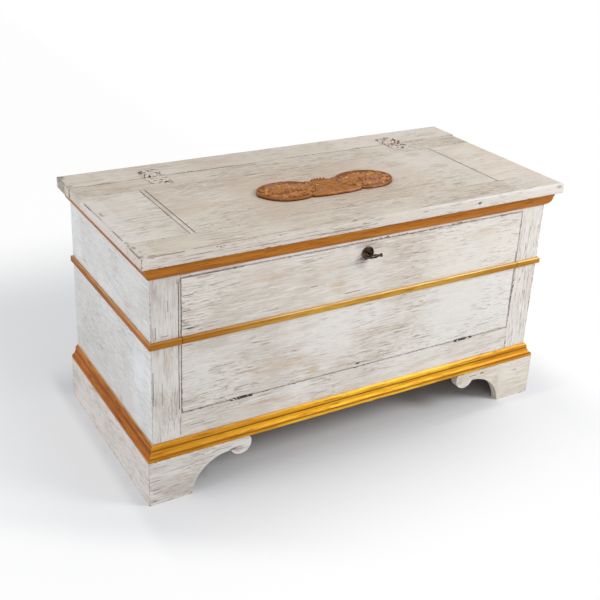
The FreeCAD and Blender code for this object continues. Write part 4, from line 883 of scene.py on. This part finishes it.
# Drawn lines over them, such as open joints and scratches, given in the same way.
STROKES = {
    "front_flap": facing(
        FRONT, 6,
        (519, 390, 0, 88, 1.8, JOINT, 0.85),
        (519.5, 300, 0, 60, 1.2, LINE_DARK, 0.7),
        (-440, 600, 80, 0, 1.2, LINE_DARK, 0.8),
        (-504, 554, 14, 0, 1.3, WOOD_DARK, 0.9),
        (-508, 513, 11, 0, 1.3, WOOD_DARK, 0.85),
        (-388, 558, 20, 0, 1.1, WOOD_DARK, 0.6),
        (-280, 466, 22, 0, 1.2, WOOD_DARK, 0.6),
        (-38, 466, 22, 0, 1.2, WOOD_DARK, 0.7),
        (-156, 505, 9, 0, 1.4, WOOD_DARK, 0.8),
        (-6, 245, 5, 1, 2.0, WOOD_DARK, 0.9),
        (430, 268, 24, 0, 1.2, WOOD_DARK, 0.5),
    ),
    "front_stile_left": facing(
        FRONT, 6,
        (-528.6, 420, 0, 172, 1.9, JOINT, 0.95),
        (-556, 536, 0, 14, 1.2, WOOD_DARK, 0.7),
        (-588, 470, 0, 16, 1.3, WOOD_DARK, 0.8),
        (-564, 458, 9, 0, 1.3, WOOD_DARK, 0.8),
        (-596, 320, 0, 46, 1.4, JOINT, 0.85),
        (-572, 300, 0, 30, 1.2, LINE_BROWN, 0.7),
        (-548, 250, 0, 30, 1.2, LINE_BROWN, 0.7),
        (-526, 196, 0, 22, 1.4, LINE_DARK, 0.8),
    ),
    "front_stile_right": facing(
        FRONT, 6,
        (560, 520, 0, 30, 1.2, LINE_BROWN, 0.7),
        (580, 360, 0, 50, 1.2, LINE_BROWN, 0.5),
    ),
    "front_bottom_rail": facing(
        FRONT, 6,
        (-480, 193, 18, 0, 1.4, LINE_DARK, 0.9),
        (-440, 186, 30, 0, 1.2, LINE_BROWN, 0.7),
        (-380, 215, 26, 0, 1.1, WOOD_DARK, 0.4),
        (120, 205, 30, 0, 1.1, WOOD_DARK, 0.4),
    ),
    "lid_panel": (
        ((-470.5, -46, LID_TOP), (0, 168, 4), 2.2, LINE_BROWN, 0.8),
        ((-457, -46, LID_TOP), (0, 168, 4), 2.5, LINE_DARK, 0.8),
        ((469, -46, LID_TOP), (0, 168, 4), 3.4, LINE_BROWN, 0.85),
        ((-166, -200, LID_TOP), (26, 0, 4), 1.8, JOINT, 0.6),
        ((-146, 112, LID_TOP), (16, 0, 4), 2.2, JOINT, 0.8),
        ((-230, 100, LID_TOP), (50, 0, 4), 1.6, LINE_BROWN, 0.7),
    ),
    "lid_rear_rail": (
        ((-210, 197, LID_TOP), (110, 0, 4), 1.6, JOINT, 0.8),
        ((-540, 197, LID_TOP), (40, 0, 4), 1.6, JOINT, 0.7),
        ((250, 197, LID_TOP), (90, 0, 4), 1.4, JOINT, 0.6),
        ((-300, 130, LID_TOP), (50, 0, 4), 1.6, LINE_BROWN, 0.7),
    ),
    "lid_front_rail": (
        ((-570, -297, LID_TOP), (44, 0, 3), 2.2, JOINT, 0.85),
        ((-420, -292, LID_TOP), (80, 0, 3), 1.9, JOINT, 0.75),
        ((-260, -288, LID_TOP), (60, 0, 3), 1.8, LINE_DARK, 0.7),
        ((-120, -281, LID_TOP), (60, 0, 3), 1.6, LINE_BROWN, 0.6),
        ((-630, -256, LID_TOP), (0, 30, 3), 2.0, JOINT, 0.7),
        ((-100, -302, 664), (100, 3, 0), 1.4, LINE_BROWN, 0.7),
    ),
    "lid_end_left": (
        ((-630, 20, LID_TOP), (0, 60, 2), 1.5, LINE_DARK, 0.7),
        ((-632, 58, 679), (1, 24, 1), 1.8, WOOD_DARK, 0.7),
        ((-629, -150, LID_TOP), (0, 30, 2), 1.8, JOINT, 0.7),
    ),
    "hinge_strip": (
        ((-604, 203, LID_TOP), (12, 0, 3), 1.8, JOINT, 0.8),
        ((-534, 204, LID_TOP), (18, 0, 3), 1.8, JOINT, 0.7),
    ),
    "bracket_foot_left": facing(
        FOOT_FRONT, 6,
        (-420, 110, 26, 0, 1.3, LINE_BROWN, 0.9),
        (-470, 96, 26, 0, 1.3, LINE_BROWN, 0.8),
        (-590, 108, 18, 0, 1.3, LINE_BROWN, 0.8),
    ),
    "bracket_foot_right": facing(
        FOOT_FRONT, 6,
        (396, 112, 12, 0, 2.0, WOOD_DARK, 0.8),
    ),
}

# Bare sides: axis, direction, and how far from their face the paint ends, in metres.
RIGHT_SIDE, LEFT_SIDE, BACK, UNDERSIDE = (0, 1, 0.0005), (0, -1, 0.0005), (1, 1, 0.0005), (2, -1, 0.0004)

# Painted boards: grain, two whites, strength of lines, dashes and wear, and bare side.
BOARDS = {
    "side_board_left": ("y", SIDE_TINT, SIDE_PALE, 0.6, 0.8, 0.6, RIGHT_SIDE),
    "side_board_right": ("y", SIDE_TINT, SIDE_PALE, 0.6, 0.8, 0.6, LEFT_SIDE),
    # the left stile wears the darker white of painted shade
    "front_stile_left": ("z", FOOT_TINT, FOOT_PALE, 0.8, 0.9, 1.0, BACK),
    "front_stile_right": ("z", FRONT_TINT, FRONT_PALE, 0.9, 1.0, 0.9, BACK),
    "front_top_rail": ("x", FRONT_TINT, FRONT_PALE, 1.0, 1.0, 1.0, BACK),
    "front_bottom_rail": ("x", FRONT_TINT, FRONT_PALE, 1.0, 1.0, 0.8, BACK),
    "front_flap": ("x", FRONT_TINT, FRONT_PALE, 1.0, 1.0, 0.7, BACK),
    "hinge_strip": ("x", LID_TINT, LID_PALE, 0.65, 0.5, 1.0, None),
    # the left foot wears the darker white of painted shade
    "bracket_foot_left": ("x", FOOT_TINT, FOOT_PALE, 1.1, 1.1, 0.9, BACK),
    "bracket_foot_right": ("x", FAR_FOOT_TINT, FAR_FOOT_PALE, 1.0, 1.0, 0.9, BACK),
    "plinth_side_left": ("y", PLINTH_TINT, PLINTH_PALE, 0.95, 1.0, 0.9, RIGHT_SIDE),
    "plinth_side_right": ("y", PLINTH_TINT, PLINTH_PALE, 0.95, 1.0, 0.9, LEFT_SIDE),
    "lid_front_rail": ("x", LID_TINT, LID_PALE, 1.1, 0.8, 0.8, UNDERSIDE),
    "lid_rear_rail": ("x", LID_TINT, LID_PALE, 1.2, 0.8, 0.6, UNDERSIDE),
    "lid_end_left": ("x", LID_END_TINT, LID_END_PALE, 0.85, 0.7, 0.7, UNDERSIDE),
    # the lid's right end wears the lighter white of painted light
    "lid_end_right": ("x", LID_RIGHT_LIT_TINT, LID_RIGHT_LIT_PALE, 0.8, 0.5, 0.6, UNDERSIDE),
    "lid_panel": ("x", LID_TINT, LID_PALE, 1.1, 0.7, 0.5, UNDERSIDE),
}

# Boards whose brush marks are finer than the others', and by how much.
FINE_BOARDS = {
    "side_board_left": 1.5, "side_board_right": 1.5, "front_stile_left": 1.3, "plinth_side_left": 1.3,
    "plinth_side_right": 1.3,
}

# Unpainted boards and their grain.
PLAIN_BOARDS = {
    "back_board_lower": "x", "back_board_upper": "x", "bottom_board_front": "x", "bottom_board_rear": "x",
    "cleat_left": "y", "cleat_right": "y", "middle_bearer": "y", "plinth_back": "x", "corner_block_left": "z",
    "corner_block_right": "z", "flap_stop_left": "z", "flap_stop_right": "z",
}
FIRST_PLAIN_SEED = 40
PAINTED_ARRIS, BARE_ARRIS, ARRIS_ANGLE = 0.0009, 0.0012, 40


def give(target, material):
    target.data.materials.clear()
    target.data.materials.append(material)


def soften(target, width):
    bevel = target.modifiers.new("softened", "BEVEL")
    bevel.width = width
    bevel.segments = 2
    bevel.limit_method = "ANGLE"
    bevel.angle_limit = math.radians(ARRIS_ANGLE)


def lines_in_metres(table, name):
    """A board's washes or strokes from their table, in metres."""
    return [(metres(*spot), metres(*halves), half_width / MILLIMETRES, shade, strength)
            for spot, halves, half_width, shade, strength in table.get(name, ())]


def dress_boards():
    for seed, (name, board) in enumerate(BOARDS.items(), start=1):
        spots = [(metres(*spot), metres(*radii), shade, strength)
                 for spot, radii, shade, strength in SPOTS.get(name, ())]
        washes, strokes = lines_in_metres(WASHES, name), lines_in_metres(STROKES, name)
        give(NODES[name], paint(name, board, seed, washes, spots, strokes))
        soften(NODES[name], PAINTED_ARRIS)
    for seed, (name, grain) in enumerate(PLAIN_BOARDS.items(), start=FIRST_PLAIN_SEED):
        give(NODES[name], bare_wood(name, grain, seed))
        soften(NODES[name], BARE_ARRIS)


def moulding_looks(name, base, tall):
    """The shades, metal share, drawn lines and ends of a moulding of the front, from its lowest
    point and its height."""
    top = base + tall
    if name.startswith("base"):
        # painted shade in the hollow and the quirk
        hollow = (base + 0.64 * tall, 0.0034, GROOVE_SHADE, 1.0)
        quirk = (base + 0.24 * tall, 0.0022, GROOVE_SHADE, 0.9)
        # the ends of the base and middle mouldings darken as painted shade
        return BASE_GILT, 0.4, [hollow, quirk, (top, 0.0016, RUBBED_EDGE_AND_HIGHLIGHT, 0.6)], (BASE_END_SHADE, 0.65, 0.5)
    if name.startswith("mid"):
        # its top line is rubbed gilt and painted highlight
        return MID_GILT, 0.3, [(top, 0.0024, RUBBED_EDGE_AND_HIGHLIGHT, 0.8)], (MID_END_SHADE, 0.75, 0.1)
    # the lid moulding: a painted shade line along its top, under the lid's overhang, and painted shade
    # towards its left end
    deep = LID_GILT[2]
    return LID_GILT, 0.35, [(top, 0.004, deep, 0.6)], (deep, 0.35, 0)


def side_looks(base, tall):
    """The same for a moulding of the sides, in a darker gilt that is painted shade."""
    # the pale lines at its edges are rubbed gilt and painted highlight
    lines = [(base + 0.5 * tall, 0.004, SHADED_SIDE_GILT[2], 0.5), (base, 0.003, RUBBED_EDGE_AND_HIGHLIGHT, 0.5)]
    return SHADED_SIDE_GILT, 0.2, lines + [(base + tall, 0.0016, RUBBED_EDGE_AND_HIGHLIGHT, 0.5)], None


def dress_mouldings():
    for seed, name in enumerate(sorted(name for name in NODES if "moulding" in name)):
        low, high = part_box(name)
        base, tall = low[2], high[2] - low[2]
        returned = name.endswith(("left", "right")) and "stile" not in name
        side = returned or name == "strip_mouldings"
        shades, metal, levels, ends = side_looks(base, tall) if side else moulding_looks(name, base, tall)
        give(NODES[name], gilding(name, shades, seed, "y" if side else "x", metal, levels, ends))


def dress_metal():
    flap_leaf_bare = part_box("front_flap")[0][1] + FLAP_LEAF_PAINTED
    for seed, name in enumerate(sorted(NODES)):
        if name.startswith("lid_hinge") or name == "lid_screws":
            give(NODES[name], painted_iron(name, seed))
        elif name.startswith("flap_hinge"):
            give(NODES[name], painted_iron(name, seed, flap_leaf_bare))
        elif name.startswith(("lock", "strike")) or name.endswith("_screws"):
            give(NODES[name], dark_metal("iron_" + name, IRON_LIGHT, IRON_DARK, IRON_ROUGHNESS, seed))
        elif name in ("key", "escutcheon_rose"):
            material = dark_metal("bronze_" + name, BRONZE_LIGHT, BRONZE_DARK, BRONZE_ROUGHNESS, seed)
            give(NODES[name], material)


# The floor, the world and the lamps

FLOOR_REACH = 14.0
FLOOR_PALE = linear(238, 240, 243)
FLOOR_SLANT, BACK_SHARE = 0.706, 0.2

# How the floor fades to white: the distances at which each fade starts and ends, and how white
# it becomes.
FADES = {
    "near": (0, 0.04, 0.3), "left": (0.05, 0.45, 0.4), "right": (0, 0.22, 1.0), "front": (0, 0.48, 1.0),
    "rear": (0.55, 1.3, 0.95), "slant": (0.80, 0.97, 0.75),
}
RIGHT_PART, FRONT_EDGE = (0.15, 0.65, 0, 0.4), (0, 0.03)

WHITE = (1, 1, 1, 1)
WORLD_STRENGTH = 0.56

# name: place, target, size, power, colour
LAMPS = {
    "lamp_key": ((2.3, -2.3, 2.3), (0.15, 0, 0.3), 1.4, 62, (1, 1, 1)),
    "lamp_fill": ((-3.4, -0.2, 2.0), (0, 0, 0.3), 2.0, 30, (0.93, 0.97, 1.0)),
}


def floor_white(tree):
    """How white the floor turns: more with each distance from the chest, in metres, least to
    its left, and soonest in front of its right end and past a slanting line."""
    across, back = tree.split()[:2]
    (left, front, floor), (right, rear, top) = cad_box
    beyond = [tree.calc("SUBTRACT", left, across), tree.calc("SUBTRACT", across, right),
              tree.calc("SUBTRACT", front, back), tree.calc("SUBTRACT", back, rear)]
    to_left, to_right, to_front, to_rear = (tree.calc("MAXIMUM", away, 0) for away in beyond)
    rear_part = tree.times(to_rear, BACK_SHARE)
    squares = tree.calc("ADD", tree.times(to_left, to_left), tree.times(rear_part, rear_part))
    distances = {
        "near": tree.calc("SQRT", squares), "left": to_left, "right": to_right, "front": to_front,
        "rear": to_rear, "slant": tree.calc("SUBTRACT", tree.times(across, -FLOOR_SLANT), back),
    }
    shares = [tree.ramp(distances[side], start, end, 0, most) for side, (start, end, most) in FADES.items()]
    shares.append(tree.times(tree.ramp(across, *RIGHT_PART), tree.ramp(to_front, *FRONT_EDGE)))
    kept = 1.0
    for share in shares:
        kept = tree.times(tree.calc("SUBTRACT", 1, share), kept)
    return tree.calc("SUBTRACT", 1, kept)


def make_floor():
    """A pale floor that turns white away from the chest, for the camera and in reflections, and
    keeps its shadow."""
    mesh = bpy.data.meshes.new("floor")
    far = FLOOR_REACH
    mesh.from_pydata([(-far, -far, 0), (far, -far, 0), (far, far, 0), (-far, far, 0)], [], [(0, 1, 2, 3)])
    floor = bpy.data.objects.new("floor", mesh)
    bpy.context.scene.collection.objects.link(floor)
    tree = Tree("floor_pale")
    matt = tree.node("ShaderNodeBsdfDiffuse")
    matt.inputs["Color"].default_value = FLOOR_PALE
    path = tree.node("ShaderNodeLightPath").outputs
    mirrored = tree.calc("MAXIMUM", path["Is Glossy Ray"], path["Is Transmission Ray"])
    seen = tree.calc("MAXIMUM", path["Is Camera Ray"], mirrored)
    glow = tree.node("ShaderNodeEmission")
    glow.inputs["Color"].default_value = WHITE
    both = tree.node("ShaderNodeMixShader")
    white = tree.times(floor_white(tree), seen)
    for socket, value in zip(both.inputs, (white, matt.outputs[0], glow.outputs[0])):
        tree.feed(socket, value)
    output = tree.node("ShaderNodeOutputMaterial")
    tree.feed(output.inputs[0], both.outputs[0])
    mesh.materials.append(tree.material)


def make_world():
    """Even light from all around, which the camera and reflections see as white."""
    world = bpy.data.worlds.new("studio")
    world.use_nodes = True
    bpy.context.scene.world = world
    nodes, links = world.node_tree.nodes, world.node_tree.links
    nodes.clear()
    path = nodes.new("ShaderNodeLightPath")
    seen = path.outputs["Is Camera Ray"]
    for kind in ("Is Glossy Ray", "Is Transmission Ray"):
        either = nodes.new("ShaderNodeMath")
        either.operation = "MAXIMUM"
        links.new(seen, either.inputs[0])
        links.new(path.outputs[kind], either.inputs[1])
        seen = either.outputs[0]
    light, white = nodes.new("ShaderNodeBackground"), nodes.new("ShaderNodeBackground")
    light.inputs["Color"].default_value = WHITE
    light.inputs["Strength"].default_value = WORLD_STRENGTH
    white.inputs["Color"].default_value = WHITE
    mix = nodes.new("ShaderNodeMixShader")
    for socket, value in zip(mix.inputs, (seen, light.outputs[0], white.outputs[0])):
        links.new(value, socket)
    output = nodes.new("ShaderNodeOutputWorld")
    links.new(mix.outputs[0], output.inputs[0])


def make_lamp(name, place, target, size, power, colour):
    data = bpy.data.lights.new(name, "AREA")
    data.shape = "DISK"
    data.size = size
    data.energy = power
    data.color = colour
    lamp = bpy.data.objects.new(name, data)
    lamp.location = place
    lamp.rotation_euler = (Vector(target) - Vector(place)).to_track_quat("-Z", "Y").to_euler()
    bpy.context.scene.collection.objects.link(lamp)


make_camera()
make_floor()
make_world()
for lamp_name, lamp in LAMPS.items():
    make_lamp(lamp_name, *lamp)
dress_boards()
dress_mouldings()
dress_metal()
make_ornament()

bpy.context.scene.view_settings.view_transform = "Standard"
